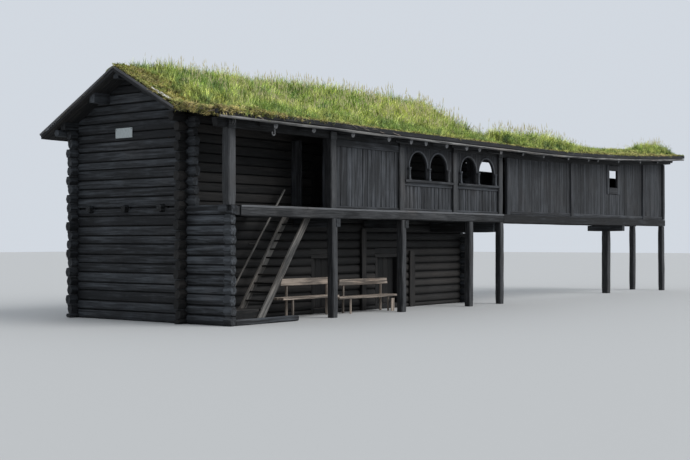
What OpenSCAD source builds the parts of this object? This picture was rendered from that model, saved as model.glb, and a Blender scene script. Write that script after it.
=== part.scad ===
// Log storehouse of two storeys with an open gallery, a boarded passage on posts and a turf roof

/* [House] */
// Length of the log house along its front
house_len = 12500; // [11800:100:13000]
// Depth of the log house from the front wall to the rear wall
house_depth = 4180; // [3900:20:4500]
// Thickness of a log wall
wall_t = 200; // [170:5:230]
// Mean height of one log course
course = 237; // [230:1:244]
// How far a log head stands out past its corner
head_out = 230; // [150:10:300]
// Depth of the seam between two logs
seam_depth = 36; // [20:2:50]

/* [Gallery] */
// Depth of the gallery from the front wall to the front of the posts
gallery_depth = 1440; // [1300:20:1600]
// Top of the gallery floor above the ground
floor_top = 2840; // [2700:20:2900]
// Side of a square lower post
lower_post = 210; // [180:10:280]
// Side of a square upper post
upper_post = 240; // [200:10:280]
// Height of the beam under the upper posts
floor_beam_h = 260; // [200:10:300]
// Clear width of one arch
arch_w = 880; // [800:10:900]
// Top of the sill under the arches above the floor
sill_h = 880; // [800:20:960]

/* [Passage] */
// Length of the boarded passage past the house
passage_len = 13100; // [12500:100:14000]
// Rise of the far end of the passage roof
far_rise = 480; // [0:20:560]
// Width of the passage window frame
window_w = 1100; // [900:20:1200]

/* [Roof] */
// Height of the ridge of the roof boards
ridge_z = 6200; // [6000:20:6400]
// Distance of the ridge behind the front wall
ridge_y = 1980; // [1800:20:2300]
// Slope of the main roof
main_slope = 28.5; // [26:0.5:30]
// Overhang of the eaves past the posts
eave_out = 430; // [350:10:500]
// Thickness of the turf
turf_t = 170; // [120:10:220]
// Height of the grass on the turf
grass_h = 620; // [300:20:700]

/* [Doors, stair and benches] */
// Clear width of the left door
door_a_w = 900; // [800:20:950]
// Clear width of the right door
door_b_w = 1000; // [850:20:1000]
// Width of the stair over its strings
stair_w = 800; // [700:20:900]
// Number of treads
tread_count = 12; // [10:1:13]
// Height of the left bench's seat, the right one is lower
bench_h = 540; // [440:10:560]

/* [Hidden] */

tar = [0.17, 0.165, 0.165];
tar_pale = [0.25, 0.245, 0.24];
tar_dark = [0.11, 0.11, 0.115];
grey_wood = [0.42, 0.40, 0.37];
soil = [0.25, 0.21, 0.14];
green = [0.42, 0.52, 0.24];

// Fits: the gap beside a piece, and the hair of room under one that seats on another
slack = 2;
seat = 0.5;
door_gap = 10;

// Storeys and courses
lower_courses = 12;
gable_courses = 27;
roof_slope = tan(main_slope);
deck_t = 40;
deck_rear_z = ridge_z - deck_t - (house_depth - ridge_y) * roof_slope;
rear_top = deck_rear_z - 5;
gable_out = 550;

// Gallery levels
front_y = -gallery_depth;
eave_y = front_y - eave_out;
break_y = 80;
break_z = ridge_z - (ridge_y - break_y) * roof_slope;
gallery_slope = 0.158;
front_top = break_z - break_y * gallery_slope - deck_t - 10;
eave_z = break_z - (break_y - eave_y) * gallery_slope;
beam_y = front_y + 10;
beam_t = 190;
beam_z = floor_top - floor_beam_h;
plank_t = 60;
plate_y = front_y + 60;
plate_t = 160;
plate_h = 210;
plate_top = eave_z;
plate_bottom = plate_top - plate_h;

// Posts along the front, by their left edges
lower_post_x = [3850, 6980, 10570, 12420];
upper_post_x = [-50, 3780, 6880, 9660, 12330];
bay_3 = upper_post_x[2] + upper_post;
bay_4 = upper_post_x[3] + upper_post;

// Passage
passage_x0 = house_len + 380;
passage_x1 = house_len + passage_len;
passage_end = passage_x1 + 800;
passage_ridge_y = -gallery_depth / 2;
passage_slope = 0.27;
rise_x0 = 13500;
rise_power = 1.8;
trestle_x = 21600;
far_post_x = passage_x1 - 300;
window_x = 20310;

// Roof edges
kerb_t = 60;
kerb_x0 = -1050;
rear_eave_y = house_depth + 580;
rear_eave_z = ridge_z - (rear_eave_y - ridge_y) * roof_slope;
house_roof_x0 = -gable_out;
house_roof_x1 = house_len + gable_out;
gallery_roof_x0 = -850;

// Middle of the whole model's box
mid_x = (kerb_x0 + passage_end) / 2;
mid_y = (eave_y - kerb_t + rear_eave_y + kerb_t) / 2;

module centred() {
    translate([-mid_x, -mid_y, 0]) children();
}

module block(low, high) {
    translate(low) cube(high - low);
}

// Outline in Y and Z, drawn along X
module along_x(x0, x1) {
    translate([x0, 0, 0]) rotate([90, 0, 90]) linear_extrude(x1 - x0) children();
}

// Outline in X and Z, drawn along Y
module along_y(y0, y1) {
    translate([0, y1, 0]) rotate([90, 0, 0]) linear_extrude(y1 - y0) children();
}

// Log courses: seams of the gable walls, and of the front and rear walls half a course higher
function wobble(i, seed) = sin(i * 137.5 + seed * 61);
function seam(k) = k == 0 ? 0 : k * course + 20 * wobble(k, 1);
function half_seam(k) = k < 0 ? 0 : (seam(k) + seam(k + 1)) / 2;
function quarter(a, b) = (a + b) / 2;

gable_seams = [for (k = [0 : gable_courses]) seam(k)];
long_seams = [for (k = [-1 : 22]) half_seam(k)];

// Outline of a stack of hewn logs, seams at the given heights
function log_side(seams, face, depth, way) = [
    for (k = [0 : len(seams) - 2])
        let (z0 = seams[k], h = seams[k + 1] - seams[k], out = 6 * wobble(k, 3))
        each [
            [face + way * depth, z0 == 0 ? 0 : z0 + 3],
            [face + way * depth * 0.35, z0 + h * 0.13],
            [face + way * (2 + abs(out)), z0 + h * 0.34],
            [face + way * abs(out), z0 + h * 0.66],
            [face + way * depth * 0.35, z0 + h * 0.88],
            [face + way * depth, z0 + h - 3],
        ]
];

function reversed(list) = [for (i = [len(list) - 1 : -1 : 0]) list[i]];

module log_stack(seams, thickness, depth) {
    polygon(concat(log_side(seams, 0, depth, 1), reversed(log_side(seams, thickness, depth, -1))));
}

// Six-sided end of a log
module head_outline(w, h) {
    polygon([[0, 0], [w * 0.2, h * 0.44], [w * 0.8, h * 0.44], [w, 0], [w * 0.8, -h * 0.44],
        [w * 0.2, -h * 0.44]]);
}

// Head of a log that lies along Y, beyond the corner at y, pointing to side
module head_y(x, y, side, z0, mid, z1, reach) {
    block([x + 20, min(y, y - side * wall_t) - 20, quarter(z0, mid) + slack / 2],
        [x + wall_t - 20, max(y, y - side * wall_t) + 20, quarter(mid, z1) - slack / 2]);
    translate([x, 0, (z0 + z1) / 2])
        along_y(min(y, y + side * reach), max(y, y + side * reach))
            head_outline(wall_t, z1 - z0);
}

// Head of a log that lies along X, beyond the corner at x, pointing to side
module head_x(x, y, side, z0, mid, z1, reach) {
    block([min(x, x - side * wall_t) - 20, y + 20, quarter(z0, mid) + slack / 2],
        [max(x, x - side * wall_t) + 20, y + wall_t - 20, quarter(mid, z1) - slack / 2]);
    translate([0, y, (z0 + z1) / 2])
        along_x(min(x, x + side * reach), max(x, x + side * reach))
            head_outline(wall_t, z1 - z0);
}

function reach_of(k) = head_out + 35 * wobble(k, 5);

joist_y = [850, 2150, 3480];
joist_w = 160;
joist_z0 = 2720;
joist_z1 = 2880;

module joist_holes(x0, x1) {
    for (y = joist_y)
        block([x0, y - joist_w / 2 - 12, joist_z0], [x1, y + joist_w / 2 + 12, joist_z1 + slack]);
}

// Outline of a gable, under the roof boards
module gable_outline() {
    polygon([[wall_t + slack, 0], [house_depth - wall_t - slack, 0],
        [house_depth - wall_t - slack, ridge_z - deck_t - (house_depth - wall_t - ridge_y) * roof_slope],
        [ridge_y, ridge_z - deck_t - 5],
        [wall_t + slack, ridge_z - deck_t - (ridge_y - wall_t) * roof_slope]]);
}

// Courses whose front end stops at the corner, because a floor timber or the gallery wall meets it there
function stops_flush(x, k) = x < house_len / 2 ? k < lower_courses : k > 8 && k < 13;

module gable_wall(x) {
    difference() {
        union() {
            intersection() {
                translate([x, 0, 0])
                    along_y(wall_t + slack, house_depth - wall_t - slack)
                        log_stack(gable_seams, wall_t, seam_depth);
                along_x(x - 10, x + wall_t + 10) gable_outline();
            }
            for (k = [0 : 20]) {
                if (seam(k + 1) < rear_top)
                    head_y(x, house_depth, 1, seam(k), half_seam(k), seam(k + 1), reach_of(k));
                if (stops_flush(x, k))
                    block([x + 20, slack / 2, quarter(seam(k), half_seam(k)) + slack / 2],
                        [x + wall_t - 20, wall_t + 20,
                        quarter(half_seam(k), seam(k + 1)) - slack / 2]);
                else if (seam(k + 1) < front_top)
                    head_y(x, 0, -1, seam(k), half_seam(k), seam(k + 1), reach_of(k + 7));
            }
        }
        joist_holes(x - 20, x + wall_t + 20);
        purlin_holes();
    }
}

module gable_wall_left() {
    color(tar) centred() gable_wall(0);
}

module gable_wall_right() {
    color(tar) centred() gable_wall(house_len - wall_t);
}

module long_wall(y, top, x0, x1) {
    intersection() {
        translate([0, y, 0]) along_x(x0, x1) log_stack(long_seams, wall_t, seam_depth);
        block([x0 - 1, y - 10, 0], [x1 + 1, y + wall_t + 10, top]);
    }
}

// Heads of a long wall; the one under the roof can reach further out than the others
module long_heads(y, low, top, side, top_reach = 0) {
    x = side < 0 ? 0 : house_len;
    for (k = [0 : 20])
        if (half_seam(k) >= low - 5 && half_seam(k + 1) < top)
            head_x(x, y, side, half_seam(k), seam(k + 1), half_seam(k + 1),
                top_reach > 0 && half_seam(k + 2) >= top ? top_reach : reach_of(k + 13));
}

// The rear wall's top log is bevelled under the roof and runs out past both gables
long_reach = 430;
rear_log_z = half_seam(20);

module rear_wall() {
    y0 = house_depth - wall_t + 8;
    y1 = house_depth - 8;
    color(tar) centred() {
        long_wall(house_depth - wall_t, rear_log_z, wall_t + slack, house_len - wall_t - slack);
        for (side = [-1, 1]) long_heads(house_depth - wall_t, 0, rear_top, side);
        along_x(-long_reach, house_len + long_reach)
            polygon([[y0, rear_log_z - 1], [y1, rear_log_z - 1], [y1, under_boards(y1) - slack],
                [y0, under_boards(y0) - slack]]);
    }
}

// Front wall, with the doorways left free between its lower pieces
frame_w = 110;
door_a_x = 4830;
door_b_x = 7780;
door_h = 1360;
door_foot = 150;
lintel_top = door_foot + door_h + frame_w;
wall_split = half_seam(11);
upper_door_foot = floor_top + 130;

module front_wall_lower() {
    color(tar) centred() {
        long_wall(0, wall_split, wall_t + slack, door_a_x - frame_w);
        long_wall(0, wall_split, door_a_x + door_a_w + frame_w, door_b_x - frame_w);
        long_wall(0, wall_split, door_b_x + door_b_w + frame_w, house_len - wall_t - slack);
        for (side = [-1, 1]) long_heads(0, 0, wall_split + 5, side);
    }
}

module front_wall_over_doors() {
    color(tar) centred() for (door = [[door_a_x, door_a_w], [door_b_x, door_b_w]])
        intersection() {
            along_x(door[0] - frame_w, door[0] + door[1] + frame_w)
                log_stack(long_seams, wall_t, seam_depth);
            block([0, -10, lintel_top], [house_len, wall_t + 10, wall_split]);
        }
}

module front_wall_upper() {
    color(tar) centred() difference() {
        front_wall_logs();
        rafters_of_house(rafter_r + slack, rafter_reach + slack);
    }
}

module front_wall_logs() {
    union() {
        intersection() {
            along_x(wall_t + slack, house_len - wall_t - slack)
                log_stack(long_seams, wall_t, seam_depth);
            difference() {
                block([0, -10, wall_split], [house_len, wall_t + 10, front_top]);
                block([door_a_x - frame_w, -20, 0],
                    [door_a_x + door_a_w + frame_w, wall_t + 20, upper_door_foot + door_h + frame_w]);
            }
        }
        for (side = [-1, 1]) long_heads(0, wall_split, front_top, side, long_reach);
    }
}

module door_frame(x, w, foot, low) {
    difference() {
        block([x - frame_w, 0, low], [x + w + frame_w, wall_t, foot + door_h + frame_w]);
        block([x, -10, foot], [x + w, wall_t + 10, foot + door_h]);
    }
}

module door_frames() {
    color(tar_pale) centred() {
        door_frame(door_a_x, door_a_w, door_foot, 0);
        door_frame(door_b_x, door_b_w, door_foot, 0);
        door_frame(door_a_x, door_a_w, upper_door_foot, wall_split);
    }
}

leaf_t = 45;
leaf_y = 140;

module door_leaf(x, w, foot, gap) {
    block([x + gap, leaf_y, foot + gap], [x + w - gap, leaf_y + leaf_t, foot + door_h - gap]);
}

module door_left() {
    color(tar_pale) centred() door_leaf(door_a_x, door_a_w, door_foot, door_gap);
}

module door_right() {
    color(tar_pale) centred() door_leaf(door_b_x, door_b_w, door_foot, door_gap);
}

// Door of the loft, always shut
module upper_door() {
    color(tar_pale) centred() door_leaf(door_a_x, door_a_w, upper_door_foot, 0);
}

// Upright planks against the lower wall
module wall_planks() {
    color(grey_wood) centred() {
        block([6930, -70, 0], [7150, -slack, 2340]);
        block([9380, -60, 0], [9650, -slack, 1700]);
    }
}

// Floors inside the house
module ground_floor() {
    color(tar_pale) centred() {
        block([wall_t + slack, wall_t + slack, 80],
            [house_len - wall_t - slack, house_depth - wall_t - slack, 140]);
        for (y = [400, 2090, 3780])
            block([wall_t + slack, y - 100, 0], [house_len - wall_t - slack, y + 100, 90]);
    }
}

module loft_joists() {
    color(tar_dark) centred() for (y = joist_y)
        block([-110, y - joist_w / 2, joist_z0], [house_len + 110, y + joist_w / 2, joist_z1]);
}

module loft_floor() {
    color(tar_pale) centred()
        block([wall_t + slack, wall_t + slack, joist_z1],
            [house_len - wall_t - slack, house_depth - wall_t - slack, joist_z1 + plank_t]);
}

// Lower end wall of the gallery, of rounder logs
function round_side(seams, face, depth, way) = [
    for (k = [0 : len(seams) - 2])
        let (z0 = seams[k], h = seams[k + 1] - seams[k])
        each [for (i = [0 : 8]) let (a = -75 + i * 150 / 8)
            [face + way * depth * (1 - cos(a)) * 1.35, z0 + h / 2 + h / 2 * sin(a) / sin(75) * 0.985]]
];

end_seams = [for (k = [0 : lower_courses - 1]) seam(k)];

module gallery_end_wall() {
    color(tar) centred() {
        along_y(front_y + 250, -slack / 2)
            polygon(concat(round_side(end_seams, 0, 60, 1),
                reversed(round_side(end_seams, wall_t, 60, -1))));
        for (k = [0 : lower_courses - 2])
            translate([-12, 0, (seam(k) + seam(k + 1)) / 2])
                along_y(front_y - 10 + 15 * wobble(k, 9), front_y + 255)
                    head_outline(wall_t + 24, (seam(k + 1) - seam(k)) * 1.1);
        block([-10, front_y - 30, seam(lower_courses - 1) - 4], [wall_t + 10, -slack / 2, floor_top - seat]);
        block([-75, front_y + 90, seam(lower_courses - 1) + 40], [-5, front_y + 340, floor_top - 1]);
    }
}

module sill_log() {
    color(grey_wood) centred()
        block([wall_t + 15, front_y, 0], [2480, front_y + 150, 140]);
}

// The second and third post carry a tie beam in a notch at their upper right corner
tie_h = 230;
tie_w = 178;
tie_in = 122;

module lower_posts() {
    color(tar_pale) centred() difference() {
        for (x = lower_post_x)
            block([x, front_y, 0], [x + lower_post, front_y + lower_post, beam_z]);
        for (x = [lower_post_x[0], lower_post_x[1]])
            block([x + tie_in - slack, front_y - 10, beam_z - tie_h - seat],
                [x + lower_post + 10, front_y + lower_post + 10, beam_z + 10]);
    }
}

// The floor beam ends in a tenon beside the corner
module floor_beam() {
    x0 = wall_t + 180;
    color(tar_pale) centred() {
        block([x0, beam_y, beam_z], [house_len + 130, beam_y + beam_t, floor_top]);
        block([wall_t + 12, beam_y + 40, beam_z + 30], [x0 + 1, beam_y + beam_t - 40, floor_top - 30]);
    }
}

// Joists under the gallery floor, one of them at the stair's head, and deeper tie beams at the posts
module gallery_joists() {
    color(tar_dark) centred() {
        block([trimmer_x, beam_y + beam_t + slack, beam_z], [trimmer_x + 120, -slack, floor_top - plank_t]);
        for (x = [1000, 2050, 5200, 6400, 7900, 9200, 11600])
            block([x, beam_y + beam_t + slack, beam_z], [x + 120, -slack, floor_top - plank_t]);
        for (x = [lower_post_x[0], lower_post_x[1]])
            block([x + tie_in, front_y - 15, beam_z - tie_h], [x + tie_in + tie_w, -slack, beam_z - seat]);
        for (x = [lower_post_x[2] - 10, lower_post_x[3] - 110])
            block([x, front_y + lower_post + slack, beam_z - 320], [x + 180, -slack, beam_z]);
    }
}

// Stairwell in the gallery floor
stair_y0 = front_y + 320;
stair_x0 = 1360;
stair_x1 = 3410;
well_x0 = 2150;
well_x1 = 3500;

module gallery_floor() {
    color(tar_pale) centred() difference() {
        block([wall_t + 12, beam_y + beam_t + slack, floor_top - plank_t],
            [house_len + 130, -slack, floor_top]);
        block([well_x0, stair_y0 - 30, floor_top - 2 * plank_t],
            [well_x1, stair_y0 + stair_w + 130, floor_top + plank_t]);
    }
}

// Upper posts, each with a tongue in front of the plate
module upper_posts() {
    color(tar_pale) centred() difference() {
        for (x = upper_post_x) {
            block([x, front_y, floor_top], [x + upper_post, front_y + upper_post, plate_bottom]);
            block([x, front_y, plate_bottom - 50], [x + upper_post, plate_y - slack, plate_top - 30]);
        }
        rafters_of_house(rafter_r + slack, rafter_reach);
    }
}

// Plates over the gallery posts and over both walls of the passage
module wall_plates() {
    color(tar_dark) centred() difference() {
        union() {
            along_y(plate_y, plate_y + plate_t)
                polygon([[-360, plate_bottom], [house_len + 130, plate_bottom], [house_len + 130, plate_top],
                    [-420, plate_top]]);
            for (y = [plate_y, -170])
                along_y(y, y + plate_t)
                    polygon(concat(rise_line(house_len + 150, passage_end - 100, plate_bottom),
                        reversed(rise_line(house_len + 150, passage_end - 100, plate_top))));
        }
        rafters_of_house(rafter_r + slack, rafter_reach);
        rafters_of_passage(passage_rafter_r + slack);
    }
}

// Cross wall at the second post, with a passage through it
cross_x = upper_post_x[1] + 90;
cross_t = 90;

module gallery_cross_wall() {
    color(tar_dark) centred() {
        block([cross_x, -310, floor_top], [cross_x + cross_t, -slack, plate_bottom]);
        block([cross_x, front_y + upper_post + slack, floor_top],
            [cross_x + cross_t, front_y + upper_post + 130, plate_bottom]);
    }
}

// Framed panel of upright boards
panel_t = 50;
rail_t = 80;

module framed_panel(x0, x1, z0, z1, low_rail, high_rail) {
    y = front_y + 60;
    block([x0 + slack, y + 20, z0], [x1 - slack, y + 20 + panel_t, z1]);
    block([x0 + slack, y - 10, z0], [x1 - slack, y + rail_t, z0 + low_rail]);
    block([x0 + slack, y - 10, z1 - high_rail], [x1 - slack, y + rail_t, z1]);
}

module gallery_panel() {
    color(tar_pale) centred()
        framed_panel(upper_post_x[1] + upper_post, upper_post_x[2], floor_top, plate_bottom, 70, 190);
}

// Arcades: a plank with two round arches and a raised band round each
arcade_t = 60;
arch_r = arch_w / 2;
spring_z = floor_top + sill_h + 360;
band = 55;

module arch_hole(x, grow) {
    translate([x, spring_z]) circle(r = arch_r + grow, $fn = 72);
    translate([x - arch_r - grow, floor_top + sill_h - 10]) square([arch_w + 2 * grow, spring_z - floor_top - sill_h + 10]);
}

function arch_centres(x0, x1) = [(x0 + x1) / 2 - arch_r - 85, (x0 + x1) / 2 + arch_r + 85];

module arcade(x0, x1) {
    y = front_y + 70;
    difference() {
        block([x0 + slack, y, floor_top + sill_h], [x1 - slack, y + arcade_t, plate_bottom - seat]);
        for (x = arch_centres(x0, x1)) along_y(y - 10, y + arcade_t + 10) arch_hole(x, 0);
    }
    for (x = arch_centres(x0, x1))
        along_y(y - 25, y + 5)
            intersection() {
                difference() {
                    arch_hole(x, band);
                    arch_hole(x, 12);
                }
                translate([x - arch_r - band, spring_z]) square([2 * (arch_r + band), arch_r + band]);
            }
}

module arcades() {
    color(tar_pale) centred() {
        arcade(bay_3, upper_post_x[3]);
        arcade(bay_4, upper_post_x[4]);
    }
}

// Turned colonnettes with base and cap, one between each pair of arches and two at the sides
module colonnette(x, h) {
    translate([x, front_y + 20, floor_top + sill_h]) rotate_extrude($fn = 32)
        polygon([[0, 0], [46, 0], [46, 22], [36, 34], [40, 46], [30, 62], [27, h - 100], [36, h - 84],
            [30, h - 70], [38, h - 50], [50, h - 40], [50, h], [0, h]]);
}

module colonnettes() {
    color(grey_wood) centred() for (bay = [[bay_3, upper_post_x[3]], [bay_4, upper_post_x[4]]]) {
        c = arch_centres(bay[0], bay[1]);
        for (x = [c[0] - arch_r - 50, (c[0] + c[1]) / 2, c[1] + arch_r + 50])
            colonnette(x, spring_z - floor_top - sill_h);
    }
}

module parapet(x0, x1) {
    y = front_y + 60;
    block([x0 + slack, y + 20, floor_top], [x1 - slack, y + 20 + panel_t, floor_top + sill_h - 70]);
    block([x0 + slack, y - 10, floor_top], [x1 - slack, y + rail_t, floor_top + 70]);
    block([x0 + slack, y - 10, floor_top + sill_h - 170], [x1 - slack, y + rail_t, floor_top + sill_h - 60]);
    block([x0 + slack, front_y - 40, floor_top + sill_h - 70], [x1 - slack, y + 130, floor_top + sill_h]);
}

module parapets() {
    color(tar_pale) centred() {
        parapet(bay_3, upper_post_x[3]);
        parapet(bay_4, upper_post_x[4]);
    }
}

// Stair: two strings, treads housed between them, a pole as a rail and a block at its foot
string_t = 60;
string_w = 190;
first_tread = 318;
tread_rise = (floor_top - 185 - first_tread) / (tread_count - 1);
stair_angle = atan2(floor_top, stair_x1 - stair_x0);
trimmer_x = stair_x1 + string_w / 2 / sin(stair_angle) - plank_t / tan(stair_angle) + slack;

module string_outline() {
    half = string_w / 2 / sin(stair_angle);
    polygon([[stair_x0 - half, 0], [stair_x0 + half, 0],
        [stair_x1 + half - plank_t / tan(stair_angle), floor_top - plank_t],
        [stair_x1 - half - plank_t / tan(stair_angle), floor_top - plank_t]]);
}

module stair_strings() {
    color(grey_wood) centred() for (y = [stair_y0, stair_y0 + stair_w - string_t])
        along_y(y, y + string_t) string_outline();
}

module stair_treads() {
    color(tar_pale) centred() for (i = [1 : tread_count]) {
        z = first_tread + (i - 1) * tread_rise;
        x = stair_x0 + z / tan(stair_angle);
        block([x - 80, stair_y0 + string_t, z - 45], [x + 110, stair_y0 + stair_w - string_t, z]);
    }
}

// The pole stands on the ground beside the stair, and two pegs hold it to logs of the wall
pole_r = 28;
pole_x = 750;
pole_angle = 52.3;
pole_top = 3330;

module stair_rail() {
    y = stair_y0 + stair_w + 80;
    color(grey_wood) centred() {
        intersection() {
            translate([pole_x, y, 0]) rotate([0, 90 - pole_angle, 0])
                translate([0, 0, -100]) cylinder(h = 100 + pole_top / sin(pole_angle), r = pole_r, $fn = 24);
            block([0, y - 50, 0], [house_len, y + 50, 2 * floor_top]);
        }
        for (z = [seam(5), seam(8)])
            translate([pole_x + z / tan(pole_angle), y, z]) rotate([-90, 0, 0])
                cylinder(h = -y - seat, r = pole_r / 2, $fn = 16);
    }
}

module stair_block() {
    color(tar_dark) centred()
        block([600, stair_y0 + string_t + slack, 0], [1450, stair_y0 + stair_w - string_t - slack, 340]);
}

// Benches in front of the wall, each with a back board on two uprights
bench_y = -420;
seat_t = 60;

module bench(x0, x1, top, back_x0, back_x1, back_z0, back_z1, legs, uprights) {
    block([x0, bench_y - 330, top - seat_t], [x1, bench_y + 60, top]);
    for (x = legs) block([x, bench_y - 310, 0], [x + 50, bench_y - 260, top - seat_t + 1]);
    for (x = uprights) block([x, bench_y + 30, 0], [x + 60, bench_y + 80, back_z1 - 30]);
    along_y(bench_y, bench_y + 35)
        polygon([[back_x0 + 40, back_z0], [back_x1 - 40, back_z0], [back_x1, back_z1], [back_x0, back_z1]]);
}

module benches() {
    color(grey_wood) centred() {
        bench(2700, 5000, bench_h, 2970, 5200, 830, 1010, [3080, 4830], [3220, 4900]);
        bench(5020, 7670, bench_h - 70, 5400, 7680, 765, 930, [5530, 7300], [5630, 7390]);
    }
}

// Passage on posts; its roof bends up towards the far end, and a broken brace hangs under its front beam
rise_steps = 8;
rise_table = [for (i = [0 : rise_steps])
    [rise_x0 + (passage_end - rise_x0) * i / rise_steps, far_rise * pow(i / rise_steps, rise_power)]];
function rise(x) = x <= rise_x0 ? 0 : lookup(x, rise_table);
function rise_line(x0, x1, z, share = 1) = concat([[x0, z + share * rise(x0)]],
    [for (p = rise_table) if (p[0] > x0 + 1 && p[0] < x1 - 1) [p[0], z + share * p[1]]],
    [[x1, z + share * rise(x1)]]);

module passage_posts() {
    color(tar_dark) centred() {
        for (y = [beam_y, -beam_t])
            block([far_post_x, y, 0], [far_post_x + 240, y + beam_t, beam_z]);
        block([trestle_x - 130, passage_ridge_y - 130, 0],
            [trestle_x + 130, passage_ridge_y + 130, beam_z - 220]);
    }
}

passage_floor_x0 = house_len + 150;

module passage_beams() {
    color(tar_pale) centred() {
        for (y = [beam_y, -beam_t])
            block([passage_floor_x0, y, beam_z], [passage_x1, y + beam_t, floor_top]);
        for (x = [13400 : 1500 : passage_x1 - 500])
            block([x, beam_y + beam_t + slack, beam_z + 20], [x + 140, -beam_t - slack, floor_top - plank_t]);
        block([trestle_x - 110, beam_y, beam_z - 220], [trestle_x + 110, 0, beam_z - slack]);
        along_y(beam_y + 30, beam_y + 130)
            polygon([[17270, beam_z - seat], [18090, 2150], [18200, 2230], [17430, beam_z - seat]]);
    }
}

module passage_floor() {
    color(tar_pale) centred()
        block([passage_floor_x0, beam_y + beam_t, floor_top - plank_t], [passage_x1, -beam_t, floor_top]);
}

// Wall of upright boards in frames, its top follows the bent plate
module boarded_wall(y, x0, x1, low = floor_top) {
    along_y(y, y + panel_t)
        polygon(concat([[x0, low]], [[x1, low]], reversed(rise_line(x0, x1, plate_bottom - slack))));
}

module stile(x, y0, y1) {
    along_y(y0, y1)
        polygon([[x, floor_top], [x + stile_w, floor_top], [x + stile_w, plate_bottom + rise(x)],
            [x, plate_bottom + rise(x)]]);
}

stile_w = 200;
stile_x = [passage_x0, 17330, 23450, passage_x1 - stile_w];

module passage_front_wall() {
    y = front_y + 60;
    color(tar_pale) centred() difference() {
        union() {
            boarded_wall(y + 20, passage_x0, passage_x1);
            for (x = stile_x)
                stile(x, y - 40, y + rail_t);
            along_y(y - 10, y + rail_t)
                polygon([[passage_x0, floor_top], [passage_x1, floor_top], [passage_x1, floor_top + 110],
                    [passage_x0, floor_top + 110]]);
            block([window_x, y - 10, 3730], [window_x + window_w, y + rail_t, plate_bottom + rise(window_x) - 5]);
        }
        block([window_x + 180, y - 60, 3970], [window_x + window_w - 230, y + 200, 4600]);
    }
}

rear_window_x = [passage_x0 + 320, passage_x0 + 5170, passage_x0 + 10020];
rear_window_w = 1500;
rear_window_z0 = 4290;
rear_window_head = 50;
rear_stile_x = [passage_x0, 16300, 20900, passage_x1 - stile_w];

// Boards of one rear bay: up to the sill, beside the opening, and the strip over it
module rear_bay(x0, x1, hole_x, y) {
    sill = rear_window_z0 + 0.7 * rise(hole_x);
    block([x0, y, floor_top], [x1, y + panel_t, sill]);
    block([x0, y - 30, floor_top], [x1, y + 80, floor_top + 110]);
    boarded_wall(y, x0, hole_x, sill + seat);
    boarded_wall(y, hole_x + rear_window_w, x1, sill + seat);
    boarded_wall(y, hole_x + slack, hole_x + rear_window_w - slack,
        plate_bottom - rear_window_head + rise(hole_x));
}

module passage_rear_wall() {
    y = -110;
    color(tar_pale) centred() {
        for (x = rear_stile_x)
            stile(x, y - 30, y + 100);
        for (i = [0 : 2])
            rear_bay(rear_stile_x[i] + stile_w + slack, rear_stile_x[i + 1] - slack, rear_window_x[i], y);
    }
}

module passage_end_wall() {
    color(tar_pale) centred()
        block([passage_x1 - panel_t, front_y + 60 + rail_t + slack, floor_top],
            [passage_x1, -150, plate_bottom + rise(passage_x1 - panel_t) - 5]);
}

// Roof timbers
function main_z(y) = ridge_z - abs(y - ridge_y) * roof_slope;

function under_boards(y) = main_z(y) - deck_t - slack;

// Squared purlins by their front side, rear side, underside and reach past the gables
squared_purlins = [[ridge_y - 95, ridge_y + 95, 6015, 490], [2775, 2975, 5470, 490], [1350, 1510, 5630, 80]];

// Round purlin under the rear eave, in saddles of the gable logs' heads
eave_purlin_y = house_depth + 130;
eave_purlin_r = 90;
eave_purlin_z = under_boards(eave_purlin_y) - eave_purlin_r / cos(main_slope);
eave_purlin_reach = 450;

module squared_purlin(p, grow) {
    y0 = p[0] - grow;
    y1 = p[1] + grow;
    along_x(-p[3], house_len + p[3])
        polygon(concat([[y0, p[2] - grow], [y1, p[2] - grow], [y1, under_boards(y1) + grow]],
            y0 < ridge_y && y1 > ridge_y ? [[ridge_y, under_boards(ridge_y) + grow]] : [],
            [[y0, under_boards(y0) + grow]]));
}

module eave_purlin(r) {
    translate([-eave_purlin_reach, eave_purlin_y, eave_purlin_z]) rotate([0, 90, 0])
        cylinder(h = house_len + 2 * eave_purlin_reach, r = r, $fn = 32);
}

module purlin_holes() {
    for (p = squared_purlins) squared_purlin([p[0], p[1], p[2], gable_out], slack);
    eave_purlin(eave_purlin_r + slack);
}

module purlins() {
    color(tar_dark) centred() {
        for (p = squared_purlins) squared_purlin(p, 0);
        eave_purlin(eave_purlin_r);
    }
}

// Round rafters of the gallery, let into the plate and into the front wall's top log
rafter_x = [1130, 2560, 4170, 5770, 6830, 7560, 8640, 9730, 10460, 11740];
rafter_r = 80;
rafter_start = 16;
rafter_reach = 90;

module rafters_of_house(r, reach) {
    angle = atan(gallery_slope);
    for (x = rafter_x)
        translate([x, eave_y + rafter_start,
            eave_z - deck_t - (rafter_r + 1) / cos(angle) + rafter_start * gallery_slope])
            rotate([-90 + angle, 0, 0])
                cylinder(h = (reach - eave_y - rafter_start) / cos(angle), r = r, $fn = 24);
}

// Rafters of the passage, in pairs
passage_rafter_x = [13130, 14520, 16270, 17810, 18560, 20280, 22210, 23850, 25300];
passage_rafter_r = 60;
passage_angle = atan(passage_slope);
passage_deck_z = eave_z;

module rafters_of_passage(r) {
    for (x = passage_rafter_x)
        for (side = [-1, 1])
            translate([x, passage_ridge_y + side * (passage_half - rafter_start),
                passage_deck_z + rise(x - passage_rafter_r) + rafter_start * passage_slope
                    - (deck_t + passage_rafter_r + 3) / cos(passage_angle)])
                rotate([-side * (-90 + passage_angle), 0, 0])
                    cylinder(h = (passage_half - 80) / cos(passage_angle), r = r, $fn = 24);
}

module rafters() {
    color(tar_dark) centred() {
        rafters_of_house(rafter_r, rafter_reach);
        rafters_of_passage(passage_rafter_r);
    }
}

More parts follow.
